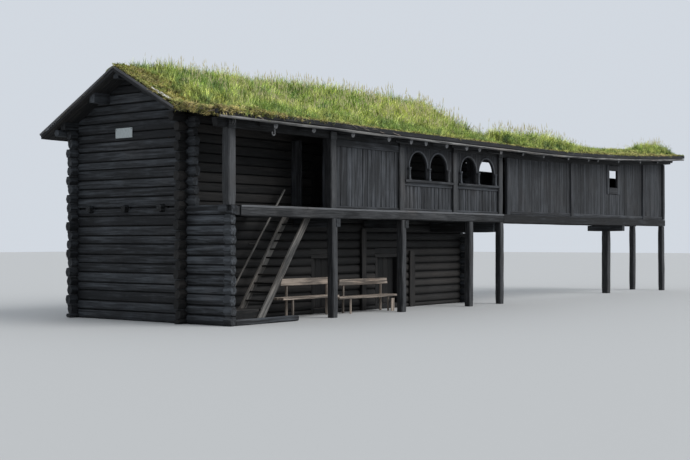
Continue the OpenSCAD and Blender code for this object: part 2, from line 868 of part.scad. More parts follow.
passage_half = passage_ridge_y - eave_y;
passage_ridge_z = passage_deck_z + passage_half * passage_slope;

// Bent sheet over one slope of the passage, between two heights over the boards' top
module passage_sheet(x0, x1, low, high, side, reach) {
    past = 300;
    intersection() {
        translate([0, passage_ridge_y, passage_ridge_z])
            mirror([0, side > 0 ? 0 : 1, 0])
                rotate([-passage_angle, 0, 0])
                    along_y(-past, (reach + past) / cos(passage_angle))
                        polygon(concat(rise_line(x0, x1, low, cos(passage_angle)),
                            reversed(rise_line(x0, x1, high, cos(passage_angle)))));
        translate([0, passage_ridge_y, 0]) mirror([0, side > 0 ? 0 : 1, 0])
            block([x0 - 10, slack / 2, 0], [x1 + 10, reach, 2 * ridge_z]);
    }
}

// Boards of the main roof, of the gallery roof and of the passage roof
module roof_boards() {
    color(grey_wood) centred() {
        for (slope = [[break_y, break_z, -slack / 2], [rear_eave_y, rear_eave_z, slack / 2]])
            along_x(house_roof_x0, house_roof_x1)
                polygon([[slope[0], slope[1]], [ridge_y + slope[2], ridge_z],
                    [ridge_y + slope[2], ridge_z - deck_t], [slope[0], slope[1] - deck_t]]);
        along_x(gallery_roof_x0, house_roof_x1)
            polygon([[break_y - slack, break_z], [eave_y, eave_z], [eave_y, eave_z - deck_t],
                [break_y - slack, break_z - deck_t]]);
        for (side = [-1, 1])
            passage_sheet(house_roof_x1 + slack, passage_end, -deck_t, 0, side, passage_half);
    }
}

// Barge boards: full length on the left gable, above the passage roof on the right one
barge_start = 700;

module barge_boards() {
    color(tar_pale) centred() for (x = [house_roof_x0 - 45, house_roof_x1 + slack])
        along_x(x, x + 43) {
            barge_outline(x < 0 ? break_y : barge_start, ridge_y - slack / 2);
            barge_outline(ridge_y + slack / 2, rear_eave_y + 40);
        }
}

module barge_outline(y0, y1) {
    polygon([[y0, main_z(y0) + 130], [y1, main_z(y1) + 130], [y1, main_z(y1) - 20], [y0, main_z(y0) - 20]]);
}

// Kerb boards that hold the turf; under the front one a thin pole runs along the rafters' ends
kerb_low = 10;
kerb_high = 130;
pole_t = 70;

module eave_kerbs() {
    color(tar_pale) centred() {
        along_y(eave_y - kerb_t, eave_y - slack)
            polygon(concat(rise_line(kerb_x0, passage_end, eave_z - kerb_low),
                reversed(rise_line(kerb_x0, passage_end, eave_z + kerb_high))));
        along_y(eave_y - kerb_t + 10, eave_y - slack)
            polygon(concat(rise_line(gallery_roof_x0, passage_end - 40, eave_z - kerb_low - pole_t),
                reversed(rise_line(gallery_roof_x0, passage_end - 40, eave_z - kerb_low + 1))));
        block([house_roof_x0, rear_eave_y + slack, rear_eave_z - 40],
            [house_roof_x1, rear_eave_y + kerb_t, rear_eave_z + kerb_high]);
    }
}

turf_edge = 120;
function rear_turf_z(y) = rear_eave_z + turf_edge
    + (rear_eave_y - y) * (ridge_z + turf_t - rear_eave_z - turf_edge) / (rear_eave_y - ridge_y);
function gallery_turf_z(y) = eave_z + turf_edge
    + (y - eave_y) * (break_z + turf_t - eave_z - turf_edge) / (break_y - eave_y);

module turf() {
    color(soil) centred() {
        along_x(house_roof_x0 + 30, house_roof_x1 - 30) {
            polygon([[break_y, break_z + 1], [ridge_y - slack / 2, ridge_z + 1],
                [ridge_y - slack / 2, ridge_z + turf_t], [break_y, break_z + turf_t]]);
            polygon([[ridge_y + slack / 2, ridge_z + 1], [rear_eave_y - 20, rear_eave_z + 12],
                [rear_eave_y - 20, rear_turf_z(rear_eave_y - 20)], [ridge_y + slack / 2, ridge_z + turf_t]]);
        }
        along_x(gallery_roof_x0 + 50, house_roof_x1 - 30)
            polygon([[break_y - slack, break_z + 1], [eave_y + 20, eave_z + 4],
                [eave_y + 20, gallery_turf_z(eave_y + 20)],
                [break_y - slack, gallery_turf_z(break_y - slack)]]);
        for (side = [-1, 1])
            passage_sheet(house_roof_x1 + 10, passage_end - 20, 1, 110, side, passage_half - 25);
    }
}

module grass() {
    color(green) centred() {
        along_x(house_roof_x0 + 60, house_roof_x1 - 60)
            polygon([[break_y, break_z + turf_t + 1], [ridge_y, ridge_z + turf_t + 1],
                [rear_eave_y - 60, rear_turf_z(rear_eave_y - 60) + 1],
                [rear_eave_y - 60, rear_turf_z(rear_eave_y - 60) + 150],
                [ridge_y, ridge_z + turf_t + grass_h], [break_y, break_z + turf_t + grass_h]]);
        along_x(gallery_roof_x0 + 150, house_roof_x1 - 60)
            polygon([[break_y - slack, gallery_turf_z(break_y - slack) + 1],
                [eave_y + 60, gallery_turf_z(eave_y + 60) + 1], [eave_y + 60, gallery_turf_z(eave_y + 60) + 150],
                [break_y - slack, break_z + turf_t + grass_h]]);
        for (side = [-1, 1])
            passage_sheet(house_roof_x1 + 30, passage_end - 60, 111, 110 + 0.8 * grass_h, side, passage_half - 60);
    }
}

gable_wall_left();
gable_wall_right();
rear_wall();
front_wall_lower();
front_wall_over_doors();
front_wall_upper();
door_frames();
door_left();
door_right();
upper_door();
wall_planks();
ground_floor();
loft_joists();
loft_floor();
gallery_end_wall();
sill_log();
lower_posts();
floor_beam();
gallery_joists();
gallery_floor();
upper_posts();
wall_plates();
gallery_cross_wall();
gallery_panel();
arcades();
colonnettes();
parapets();
stair_strings();
stair_treads();
stair_rail();
stair_block();
benches();
passage_posts();
passage_beams();
passage_floor();
passage_front_wall();
passage_rear_wall();
passage_end_wall();
purlins();
rafters();
roof_boards();
barge_boards();
eave_kerbs();
turf();
grass();
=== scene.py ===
"""Looks of a tarred log storehouse with a gallery, a covered passage and a turf roof."""

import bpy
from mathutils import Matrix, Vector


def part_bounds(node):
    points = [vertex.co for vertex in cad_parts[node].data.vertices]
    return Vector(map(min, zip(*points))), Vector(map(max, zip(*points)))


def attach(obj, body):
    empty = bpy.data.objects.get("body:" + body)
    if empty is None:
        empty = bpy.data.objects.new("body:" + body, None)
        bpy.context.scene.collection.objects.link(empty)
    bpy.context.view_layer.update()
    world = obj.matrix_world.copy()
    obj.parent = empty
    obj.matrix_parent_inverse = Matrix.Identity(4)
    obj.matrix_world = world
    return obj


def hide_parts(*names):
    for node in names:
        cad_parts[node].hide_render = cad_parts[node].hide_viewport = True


bl_info = {
    "name": "Log Storehouse",
    "version": (1, 0, 0),
    "blender": (4, 5, 0),
    "location": "3D View > Sidebar > Storehouse",
    "description": "Logs, boards, turf and grass of a two-storey log storehouse",
    "category": "Object",
}

import math
import random

import bmesh
import bpy
from bpy.props import FloatProperty, FloatVectorProperty, IntProperty, PointerProperty
from mathutils import Euler, Matrix, Vector, noise

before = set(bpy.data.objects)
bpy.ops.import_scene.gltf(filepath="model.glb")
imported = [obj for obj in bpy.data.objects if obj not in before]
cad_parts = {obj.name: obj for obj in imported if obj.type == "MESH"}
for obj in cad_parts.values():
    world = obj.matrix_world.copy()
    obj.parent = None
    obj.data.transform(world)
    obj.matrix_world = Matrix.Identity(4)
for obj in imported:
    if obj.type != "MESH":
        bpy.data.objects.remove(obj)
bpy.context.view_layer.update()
HOUSE = "house"
# Without a seed of its own, noise_vector changes from run to run
NOISE_SEED = 7

# Places that the CAD model gives
FRONT_WALL, REAR_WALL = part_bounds("front_wall_upper"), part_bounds("rear_wall")
LEFT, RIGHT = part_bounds("gable_wall_left")[0].x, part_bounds("gable_wall_right")[1].x
FRONT, BACK = FRONT_WALL[0].y, REAR_WALL[1].y
WALL = FRONT_WALL[1].y - FRONT
FLOOR_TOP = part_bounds("gallery_floor")[1].z
PASSAGE_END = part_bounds("eave_kerbs")[1].x
GALLERY_DEPTH = 1.45
BOARD = 0.04
RIDGE_Y, RIDGE_Z = FRONT + 1.98, 6.2
SLOPE, GALLERY_SLOPE = math.tan(math.radians(28.5)), 0.158
BREAK_Y, EAVE_Y, PASSAGE_Y = FRONT + 0.08, FRONT - 1.87, FRONT - 0.72
BREAK_Z = RIDGE_Z - (RIDGE_Y - BREAK_Y) * SLOPE
EAVE_Z = BREAK_Z - (BREAK_Y - EAVE_Y) * GALLERY_SLOPE
PLATE_WIDTH, PLATE_HEIGHT = 0.16, 0.21
PLATE_Z = EAVE_Z - PLATE_HEIGHT
UNDER_BOARDS = RIDGE_Z - BOARD - 0.004
RISE_X0, RISE, RISE_POWER, RISE_STEPS = LEFT + 13.5, 0.48, 1.8, 8
X_AXIS, Y_AXIS, Z_AXIS = Vector((1, 0, 0)), Vector((0, 1, 0)), Vector((0, 0, 1))


def at(x, y, z):
    """A place by its distance from the left front corner of the log house"""
    return Vector((LEFT + x, FRONT + y, z))


def rise(x):
    """How far the roof of the passage has bent up at x, in as many straight steps as the CAD model"""
    share = RISE_STEPS * min(1, max(0, (x - RISE_X0) / (PASSAGE_END - RISE_X0)))
    step = min(RISE_STEPS - 1, int(share))
    low, high = (step / RISE_STEPS) ** RISE_POWER, ((step + 1) / RISE_STEPS) ** RISE_POWER
    return RISE * (low + (high - low) * (share - step))


def colour_property(name, description, default):
    return FloatVectorProperty(name=name, description=description, default=default, size=3,
                               min=0, max=1, subtype="COLOR")


class StorehouseSizes(bpy.types.PropertyGroup):
    """Sizes of the pieces that are added to the CAD model"""
    board_width: FloatProperty(name="Board width", description="Mean width of a wall board",
                               default=0.21, min=0.1, max=0.4, unit="LENGTH")
    board_gap: FloatProperty(name="Board gap", description="Gap between two boards",
                             default=0.006, min=0.001, max=0.02, unit="LENGTH")
    unevenness: FloatProperty(name="Unevenness", description="How far hewn faces wander",
                              default=0.007, min=0, max=0.02, unit="LENGTH")
    grass_height: FloatProperty(name="Grass height", description="Length of the tallest blades",
                                default=0.48, min=0.1, max=0.55, unit="LENGTH")
    blade_width: FloatProperty(name="Blade width", description="Width of a grass blade",
                               default=0.018, min=0.004, max=0.03, unit="LENGTH")
    tufts: IntProperty(name="Tufts", description="Tufts of grass on one slope",
                       default=4300, min=100, max=4700)


class StorehouseFinish(bpy.types.PropertyGroup):
    """Colours of the finishes"""
    tar: colour_property("Tar", "Fresh tar in the shade", (0.005, 0.0058, 0.0073))
    tar_worn: colour_property("Worn tar", "Tar bleached by rain and sun", (0.07, 0.078, 0.088))
    # The two sheltered colours are mostly painted shade for parts under the gallery and the roof. They also
    # stand for tar that the sun doesn't bleach
    painted_shade_tar: colour_property("Sheltered tar", "Tar that sun and rain don't reach", (0.0025, 0.0027, 0.003))
    painted_shade_worn: colour_property("Sheltered worn tar", "Worn tar under the gallery", (0.04, 0.036, 0.033))
    board_dark: colour_property("Dark board", "Tarred board in the shade", (0.012, 0.0128, 0.0148))
    board_worn: colour_property("Worn board", "Tarred board bleached by rain", (0.074, 0.08, 0.089))
    beam_dark: colour_property("Dark beam", "Beam in the shade", (0.008, 0.0086, 0.0096))
    beam_worn: colour_property("Worn beam", "Beam bleached by rain", (0.12, 0.123, 0.128))
    bare_dark: colour_property("Bare wood, dark", "Grain of bare wood", (0.1, 0.085, 0.072))
    bare_pale: colour_property("Bare wood, pale", "Bare weathered wood", (0.4, 0.33, 0.27))
    inner_dark: colour_property("Inner wood, dark", "Grain of wood under the roof", (0.014, 0.0125, 0.0115))
    inner_pale: colour_property("Inner wood, pale", "Wood under the roof", (0.085, 0.075, 0.068))
    soil: colour_property("Soil", "Soil at the edge of the turf", (0.02, 0.014, 0.01))
    moss: colour_property("Moss", "Moss on the turf", (0.5, 0.5, 0.13))
    moss_dry: colour_property("Dry moss", "Dry moss on the turf", (0.56, 0.45, 0.19))
    grass_root: colour_property("Grass root", "Foot of the blades", (0.035, 0.05, 0.015))
    grass_green: colour_property("Green grass", "Green blades", (0.34, 0.52, 0.12))
    grass_pale: colour_property("Pale grass", "Yellow blades", (0.8, 0.82, 0.27))
    grass_blue: colour_property("Dark grass", "Dark green blades", (0.15, 0.3, 0.13))
    seed: colour_property("Seed heads", "Seed heads of the stalks", (0.58, 0.52, 0.3))
    bark: colour_property("Birch bark", "Flakes of birch bark at the verge", (0.62, 0.6, 0.55))
    plate: colour_property("Plate", "Painted plate on the gable", (0.42, 0.46, 0.46))


def sizes():
    return bpy.context.scene.storehouse_sizes


def finish():
    return bpy.context.scene.storehouse_finish


# Nodes of the materials and of the scattering
class Nodes:
    """Makes the nodes of one tree and links them"""

    def __init__(self, tree):
        self.nodes, self.links = tree.nodes, tree.links

    def new(self, kind, inputs=(), **settings):
        """A node with its settings, whose inputs get values or links by name"""
        node = self.nodes.new(kind)
        for name, value in settings.items():
            setattr(node, name, value)
        for name, value in dict(inputs).items():
            self.feed(node.inputs[name], value)
        return node

    def feed(self, socket, value):
        if isinstance(value, bpy.types.NodeSocket):
            self.links.new(value, socket)
        else:
            socket.default_value = (*value, 1) if socket.type == "RGBA" else value

    def maths(self, operation, first, second):
        node = self.new("ShaderNodeMath", operation=operation)
        self.feed(node.inputs[0], first)
        self.feed(node.inputs[1], second)
        return node.outputs["Value"]

    def times(self, first, second):
        return self.maths("MULTIPLY", first, second)

    def total(self, first, *others):
        for other in others:
            first = self.maths("ADD", first, other)
        return first


class Finish(Nodes):
    """The nodes of one material"""

    def __init__(self, name):
        self.material = bpy.data.materials.new(name)
        self.material.use_nodes = True
        super().__init__(self.material.node_tree)

    def made(self, colour, roughness, **inputs):
        """The material, with its shader fed"""
        shader = self.nodes["Principled BSDF"]
        inputs = {name.replace("_", " "): value for name, value in inputs.items()}
        for name, value in ({"Base Color": colour, "Roughness": roughness} | inputs).items():
            self.feed(shader.inputs[name], value)
        return self.material

    def attribute(self, name, output="Fac"):
        return self.new("ShaderNodeAttribute", attribute_name=name).outputs[output]

    def place(self):
        return self.new("ShaderNodeTexCoord").outputs["Object"]

    def facing(self):
        normal = self.new("ShaderNodeNewGeometry").outputs["Normal"]
        return self.new("ShaderNodeSeparateXYZ", {"Vector": normal}).outputs

    def mapped(self, source, scale):
        return self.new("ShaderNodeMapping", {"Scale": scale, "Vector": source}).outputs["Vector"]

    def noise(self, vector, scale, detail, roughness, distortion=0.0):
        inputs = {"Scale": scale, "Detail": detail, "Roughness": roughness, "Distortion": distortion,
                  "Vector": vector}
        return self.new("ShaderNodeTexNoise", inputs).outputs["Fac"]

    def remap(self, value, low, high, out_low=0.0, out_high=1.0):
        inputs = {"From Min": low, "From Max": high, "To Min": out_low, "To Max": out_high, "Value": value}
        return self.new("ShaderNodeMapRange", inputs).outputs["Result"]

    def mixed(self, factor, first, second, blend="MIX"):
        inputs = {"Factor": factor, "A": first, "B": second}
        return self.new("ShaderNodeMix", inputs, data_type="RGBA", blend_type=blend).outputs["Result"]

    def blended(self, share, first, second):
        """Two colours, mixed by a share that may leave 0 to 1"""
        return self.mixed(self.new("ShaderNodeClamp", {"Value": share}).outputs["Result"], first, second)

    def bump(self, height, strength, distance):
        inputs = {"Strength": strength, "Distance": distance, "Height": height}
        return self.new("ShaderNodeBump", inputs).outputs["Normal"]


# How finely the parts of a wood's grain repeat along and across a timber
FIBRE, STREAK, SPLIT, RING = (2.2, 70, 70), (0.9, 16, 16), (0.8, 26, 26), (0.15, 1, 1)
BROWNISH = (1.25, 1.0, 0.8)


def wood(name, dark, worn, weather=0.5, crack_depth=0.6, bleached=0.0):
    """Wood whose grain follows each timber by its grain attribute"""
    tree = Finish(name)
    grain, tone, place = tree.attribute("grain", "Vector"), tree.attribute("tone"), tree.place()
    fibre = tree.noise(tree.mapped(grain, FIBRE), 1.0, 5, 0.6)
    streak = tree.noise(tree.mapped(grain, STREAK), 1.0, 4, 0.6)
    patch = tree.noise(place, 1.3, 3, 0.6)
    split = tree.noise(tree.mapped(grain, SPLIT), 1.0, 2, 0.4, 0.3)
    rings = tree.new("ShaderNodeTexWave", {"Scale": 22, "Distortion": 1.5, "Detail": 2,
                                           "Vector": tree.mapped(grain, RING)},
                     wave_type="RINGS", rings_direction="X").outputs["Fac"]
    off_middle = tree.maths("ABSOLUTE", tree.maths("SUBTRACT", split, 0.5), 0.0)
    crack = tree.maths("SUBTRACT", 1.0, tree.remap(off_middle, 0.0, 0.02))
    facing = tree.facing()
    # Faces turned up, and through bleached the faces turned to the front, are lightened. This is painted
    # light, which also stands for weathering by rain and sun
    painted_light_by_facing = tree.total(tree.remap(facing["Z"], -0.2, 0.9, -0.1, 0.5),
                        tree.remap(facing["Y"], -0.9, -0.3, bleached, 0.0))
    streaks = tree.times(tree.remap(streak, 0.41, 0.61), tree.remap(patch, 0.3, 0.72, 0.25, 1.0))
    wear = tree.total(tree.times(streaks, 2 * weather), painted_light_by_facing, tree.times(tone, 0.28),
                      tree.remap(fibre, 0.32, 0.68, -0.3, 0.3), tree.remap(rings, 0, 1, -0.05, 0.05))
    colour = tree.blended(wear, dark, worn)
    brown = tree.times(tree.remap(tree.noise(place, 0.8, 2, 0.5), 0.52, 0.75), 0.35)
    colour = tree.mixed(brown, colour, BROWNISH, "MULTIPLY")
    # Cracks are darkened: painted shade inside them
    colour = tree.mixed(tree.times(crack, crack_depth), colour, [0.25 * c for c in dark])
    # The seam attribute darkens seams and board gaps: painted shade between the timbers
    colour = tree.mixed(tree.times(tree.attribute("seam"), 0.93), colour, [0.1 * c for c in dark])
    height = tree.total(tree.times(fibre, 0.5), tree.times(streak, 0.6))
    height = tree.maths("SUBTRACT", height, tree.times(crack, 0.7))
    return tree.made(colour, tree.remap(fibre, 0.3, 0.7, 0.62, 0.84), Specular_IOR_Level=0.35,
                     Normal=tree.bump(height, 0.55, 0.012))


def turf_soil(name):
    """Soil and moss: moss on top, bare soil and roots at the edges"""
    colours, tree = finish(), Finish(name)
    place = tree.place()
    coarse, middle, fine = (tree.noise(place, scale, 4, rough)
                            for scale, rough in ((2.2, 0.6), (9, 0.6), (38, 0.7)))
    moss = tree.mixed(tree.remap(middle, 0.38, 0.62), colours.moss, colours.moss_dry)
    moss = tree.mixed(tree.remap(coarse, 0.45, 0.7), moss, colours.grass_green)
    moss = tree.mixed(tree.remap(fine, 0.3, 0.62, 0.75, 0.0), moss, colours.soil)
    lit = tree.total(tree.remap(tree.facing()["Z"], 0.1, 0.6), tree.remap(middle, 0.35, 0.65, -0.5, 0.4))
    soil = tree.mixed(fine, colours.soil, [2.4 * c for c in colours.soil])
    return tree.made(tree.blended(lit, soil, moss), 0.95, Specular_IOR_Level=0.2,
                     Normal=tree.bump(tree.total(fine, middle), 0.8, 0.03))


def blades(name, root, first, second, third):
    """Grass whose colour runs from root to tip and changes in patches over the roof"""
    tree = Finish(name)
    place, reach, tone = tree.place(), tree.attribute("reach"), tree.attribute("tone")
    patch, spot, clump = (tree.noise(place, scale, 3, rough)
                          for scale, rough in ((0.55, 0.6), (2.4, 0.6), (3.4, 0.65)))
    share = tree.total(tree.remap(patch, 0.36, 0.64), tree.times(tone, 0.45))
    colour = tree.blended(share, first, second)
    share = tree.total(tree.remap(spot, 0.52, 0.68, 0, 0.8), tree.times(tone, -0.2))
    colour = tree.blended(share, colour, third)
    bright = tree.times(tree.remap(tone, -1, 1, 0.6, 1.5), tree.remap(clump, 0.36, 0.64, 0.42, 1.45))
    grey = tree.new("ShaderNodeCombineColor", {"Red": bright, "Green": bright, "Blue": bright})
    colour = tree.mixed(1.0, colour, grey.outputs["Color"], "MULTIPLY")
    colour = tree.mixed(tree.remap(reach, 0.0, 0.8), root, colour)
    colour = tree.mixed(tree.remap(reach, 1.3, 1.8), colour, finish().seed)
    return tree.made(colour, 0.55, Specular_IOR_Level=0.3)


def flecked(name, colour, scale, texture, spread, depth):
    """A pale finish with darker flecks or streaks"""
    tree = Finish(name)
    fleck = tree.remap(tree.noise(tree.mapped(tree.place(), scale), *texture), *spread)
    return tree.made(tree.mixed(fleck, colour, [depth * c for c in colour]), 0.6)


def rusty_iron(name):
    tree = Finish(name)
    rust = tree.noise(tree.place(), 60, 4, 0.6)
    return tree.made(tree.mixed(rust, (0.03, 0.028, 0.028), (0.12, 0.06, 0.035)), 0.7, Metallic=0.6)


# Timbers: one bmesh holds many, each with its own grain and tone
def new_timbers():
    mesh = bmesh.new()
    mesh.verts.layers.float_vector.new("grain")
    mesh.verts.layers.float.new("tone")
    mesh.verts.layers.float.new("seam")
    return mesh


def squared(width, height, ease=0.008):
    """Outline of a squared timber or board with eased edges"""
    w, h = width / 2, height / 2
    e = min(ease, w * 0.4, h * 0.4)
    return [(w, -h + e), (w, h - e), (w - e, h), (-w + e, h), (-w, h - e), (-w, -h + e),
            (-w + e, -h), (w - e, -h)]


def both_sides(side, width, height):
    w, h = width / 2, height / 2
    return [(w * u, h * v) for u, v in side] + [(-w * u, h * v) for u, v in reversed(side)]


def hewn(width, height):
    """Outline of a hewn log: flat sides with narrow seams"""
    return both_sides([(0.4, -1), (0.82, -0.9), (0.97, -0.81), (1, -0.72), (1, 0.7), (0.96, 0.8),
                       (0.82, 0.9), (0.4, 1)], width, height)


def rounded(width, height):
    """Outline of a log left rounder"""
    w, h = width / 2, height / 2
    return [(w * math.copysign(abs(math.cos(a)) ** 0.55, math.cos(a)),
             h * math.copysign(abs(math.sin(a)) ** 0.8, math.sin(a)))
            for a in (math.radians(15 + 22.5 * i) for i in range(16))]


def six_sided(width, height):
    """Outline of a log head"""
    return both_sides([(0.62, -0.94), (0.96, -0.16), (0.96, 0.16), (0.62, 0.94)], width, height)


def circle_outline(radius, count=14):
    return [(radius * math.cos(2 * math.pi * i / count), radius * math.sin(2 * math.pi * i / count))
            for i in range(count)]


def trim(mesh, point, normal):
    """Takes off what lies beyond a plane and closes the cut"""
    made = bmesh.ops.bisect_plane(mesh, geom=[*mesh.verts, *mesh.edges, *mesh.faces], dist=1e-5,
                                  plane_co=point, plane_no=Vector(normal).normalized(),
                                  clear_outer=True)["geom_cut"]
    bmesh.ops.holes_fill(mesh, edges=[e for e in made if isinstance(e, bmesh.types.BMEdge)])


def pierced(mesh, boxes):
    """The mesh with boxes taken out of it by a boolean modifier"""
    cutter = bmesh.new()
    for low, high in boxes:
        low, high = Vector(low), Vector(high)
        made = bmesh.ops.create_cube(cutter, size=1)["verts"]
        bmesh.ops.scale(cutter, vec=high - low, verts=made)
        bmesh.ops.translate(cutter, vec=(low + high) / 2, verts=made)
    things = []
    for source in (mesh, cutter):
        data = bpy.data.meshes.new("cut")
        source.to_mesh(data)
        source.free()
        thing = bpy.data.objects.new("cut", data)
        bpy.context.scene.collection.objects.link(thing)
        things.append(thing)
    cut = things[0].modifiers.new("cut", "BOOLEAN")
    cut.object, cut.operation, cut.solver = things[1], "DIFFERENCE", "EXACT"
    depsgraph = bpy.context.evaluated_depsgraph_get()
    data = bpy.data.meshes.new_from_object(things[0].evaluated_get(depsgraph))
    result = new_timbers()
    result.from_mesh(data)
    for thing in things:
        old = thing.data
        bpy.data.objects.remove(thing)
        bpy.data.meshes.remove(old)
    bpy.data.meshes.remove(data)
    return result


def timber(mesh, start, end, outline, across, dice, step=0.3, wander=None, worn_end=0.93, tone=None,
           seams=0.0, band=(0.72, 0.84), edges=0.0, cuts=(), holes=(), bends=False):
    """Adds a timber from start to end: an outline spun into sections, made uneven and then cut.

    Cuts are planes by point and normal, holes are boxes, and a timber that bends follows the
    passage's roof."""
    start, end = Vector(start), Vector(end)
    along = end - start
    length = along.length
    along.normalize()
    across = (across - along * across.dot(along)).normalized()
    up = along.cross(across)
    wander = sizes().unevenness if wander is None else wander
    target, before = mesh, len(mesh.verts)
    if cuts or holes:
        mesh, before = new_timbers(), 0
    ring = bmesh.ops.create_circle(mesh, cap_ends=True, segments=len(outline), radius=1)["verts"]
    for vert, (u, v) in zip(ring, outline):
        vert.co = start + across * u + up * v
    cap = ring[0].link_faces[0]
    count = max(1, round(length / step))
    bmesh.ops.spin(mesh, geom=[cap, *cap.edges, *ring], cent=start, axis=along,
                   dvec=along * (length / count), angle=0, steps=count, use_duplicate=False)
    mesh.verts.ensure_lookup_table()
    seed = dice.uniform(0, 900)
    edge = min(0.02, length / 4)
    for vert in mesh.verts[before:]:
        place = vert.co - start
        s, u, v = place.dot(along), place.dot(across), place.dot(up)
        if s < edge or s > length - edge:
            u, v = u * worn_end, v * worn_end
        bend = noise.noise_vector((s * 0.55 + seed, 7.3, 2.1)) * wander
        rough = noise.noise_vector((s * 2.1 + seed, u * 7, v * 7)) * wander * 0.6
        vert.co = start + along * s + across * (u + bend.x + rough.x) + up * (v + bend.y + rough.y)
    for point, normal in cuts:
        trim(mesh, point, normal)
    if holes:
        mesh = pierced(mesh, holes)
    heart = (dice.uniform(-0.03, 0.03), dice.uniform(-0.03, 0.03))
    tone = dice.uniform(-1, 1) if tone is None else tone
    wide, half = max(abs(u) for u, v in outline), max(abs(v) for u, v in outline)
    layers = mesh.verts.layers
    grain, shade, joint = layers.float_vector["grain"], layers.float["tone"], layers.float["seam"]
    mesh.verts.ensure_lookup_table()
    for vert in mesh.verts[before:]:
        place = vert.co - start
        s, u, v = place.dot(along), place.dot(across), place.dot(up)
        vert[grain] = (s + seed, u + heart[0], v + heart[1])
        vert[shade] = tone
        # The top and bottom of a log, and the edges of a board, get painted shade in the seams and gaps
        # between timbers
        vert[joint] = max(seams * smooth(abs(v) / half, *band), edges * smooth(abs(u) / wide, 0.9, 0.98))
        if bends:
            vert.co.z += rise(vert.co.x)
    if mesh is not target:
        data = bpy.data.meshes.new("timber")
        mesh.to_mesh(data)
        mesh.free()
        target.from_mesh(data)
        bpy.data.meshes.remove(data)


def smooth(value, low, high):
    share = min(1, max(0, (value - low) / (high - low)))
    return share * share * (3 - 2 * share)


def upright_grain(mesh, tone):
    """Grain that runs up through pieces that aren't spun as timbers"""
    grain, shade = mesh.verts.layers.float_vector["grain"], mesh.verts.layers.float["tone"]
    for vert in mesh.verts:
        vert[grain], vert[shade] = (vert.co.z, vert.co.x, vert.co.y), tone


def piece(name, mesh, material, body=HOUSE, nodes=None, angle=42):
    """Makes an object of a bmesh that rides on a body and replaces CAD nodes, else the one of its name"""
    bmesh.ops.recalc_face_normals(mesh, faces=mesh.faces)
    data = bpy.data.meshes.new(name)
    mesh.to_mesh(data)
    mesh.free()
    data.materials.append(material)
    data.shade_smooth()
    data.set_sharp_from_angle(angle=math.radians(angle))
    thing = bpy.data.objects.new(name, data)
    bpy.context.scene.collection.objects.link(thing)
    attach(thing, body)
    if nodes is None:
        nodes = [name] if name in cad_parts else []
    if nodes:
        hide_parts(*nodes)


def loose_parts(node):
    """The corners of each separate solid of a CAD node"""
    mesh = bmesh.new()
    mesh.from_mesh(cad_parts[node].data)
    bmesh.ops.remove_doubles(mesh, verts=mesh.verts, dist=1e-5)
    seen, parts = set(), []
    for first in mesh.verts:
        if first in seen:
            continue
        seen.add(first)
        found, queue = [], [first]
        while queue:
            vert = queue.pop()
            found.append(vert.co.copy())
            for edge in vert.link_edges:
                other = edge.other_vert(vert)
                if other not in seen:
                    seen.add(other)
                    queue.append(other)
        parts.append(found)
    mesh.free()
    return sorted(parts, key=lambda part: tuple(round(c, 3) for c in part_box(part)[0]))


def part_box(part):
    return (Vector(min(p[i] for p in part) for i in range(3)),
            Vector(max(p[i] for p in part) for i in range(3)))


def squared_timber(mesh, low, high, dice, ease=0.012, **options):
    """A squared timber that fills a box, along its longest side"""
    low, high = Vector(low), Vector(high)
    size = high - low
    way = max(range(3), key=lambda i: size[i])
    middle = (low + high) / 2
    start, end = middle.copy(), middle.copy()
    start[way], end[way] = low[way], high[way]
    along = (X_AXIS, Y_AXIS, Z_AXIS)[way]
    across = Y_AXIS if way == 0 else X_AXIS
    up = along.cross(across)
    u = max(range(3), key=lambda i: abs(across[i]))
    v = max(range(3), key=lambda i: abs(up[i]))
    timber(mesh, start, end, squared(size[u], size[v], ease), across, dice, **options)


def round_timber(mesh, part, dice, **options):
    """A round timber in the place of a CAD cylinder that lies across the house"""
    low, high = part_box(part)
    middle = (low.y + high.y) / 2
    ends = [sum(side, Vector()) / len(side) for side in
            ([p for p in part if p.y < middle], [p for p in part if p.y >= middle])]
    timber(mesh, ends[0], ends[1], circle_outline((high.x - low.x) / 2), Z_AXIS, dice, **options)


def prism_timber(mesh, part, dice, **options):
    """A timber with the CAD solid's own outline, drawn along X"""
    low, high = part_box(part)
    ring = [p for p in part if p.x < low.x + 0.001]
    middle = sum(ring, Vector()) / len(ring)
    ring.sort(key=lambda p: math.atan2(p.z - middle.z, p.y - middle.y))
    timber(mesh, middle, Vector((high.x, middle.y, middle.z)),
           [(p.y - middle.y, p.z - middle.z) for p in ring], Y_AXIS, dice, **options)


def cells(low, high, width, dice):
    """Splits a length into boards of uneven widths"""
    while low < high - 0.02:
        wide = width * dice.uniform(0.72, 1.28)
        if high - low - wide < width * 0.4:
            wide = high - low
        yield low, low + wide
        low += wide


def boards(mesh, low, high, run, dice, way=0, width=None, gap=None, **options):
    """Fills a thin box with boards side by side along one axis, each a little ahead along another"""
    gap = sizes().board_gap if gap is None else gap
    for start, end in cells(low[run], high[run], width or sizes().board_width, dice):
        first, last = Vector(low), Vector(high)
        first[run], last[run] = start + gap / 2, end - gap / 2
        first[way] += dice.uniform(0, 0.008)
        squared_timber(mesh, first, last, dice, ease=0.01, edges=0.9 if way == 1 else 0, **options)


# Log walls: heights of the courses and reach of the heads, as in the CAD model
COURSE, COURSE_SWING = 0.237, 0.02
HEAD_REACH, HEAD_SWING, LONG_HEAD = 0.23, 0.035, 0.43
# The front heads of these courses make way for the gallery's end wall and for the passage
HEADLESS_LEFT, HEADLESS_RIGHT = range(12), range(9, 13)
# Seam under the rear wall's top log, courses of the gallery's end wall, height up to which the front
# wall's logs are left round
TOP_LOG, END_COURSES, ROUND_BELOW = 20, 11, 2.6


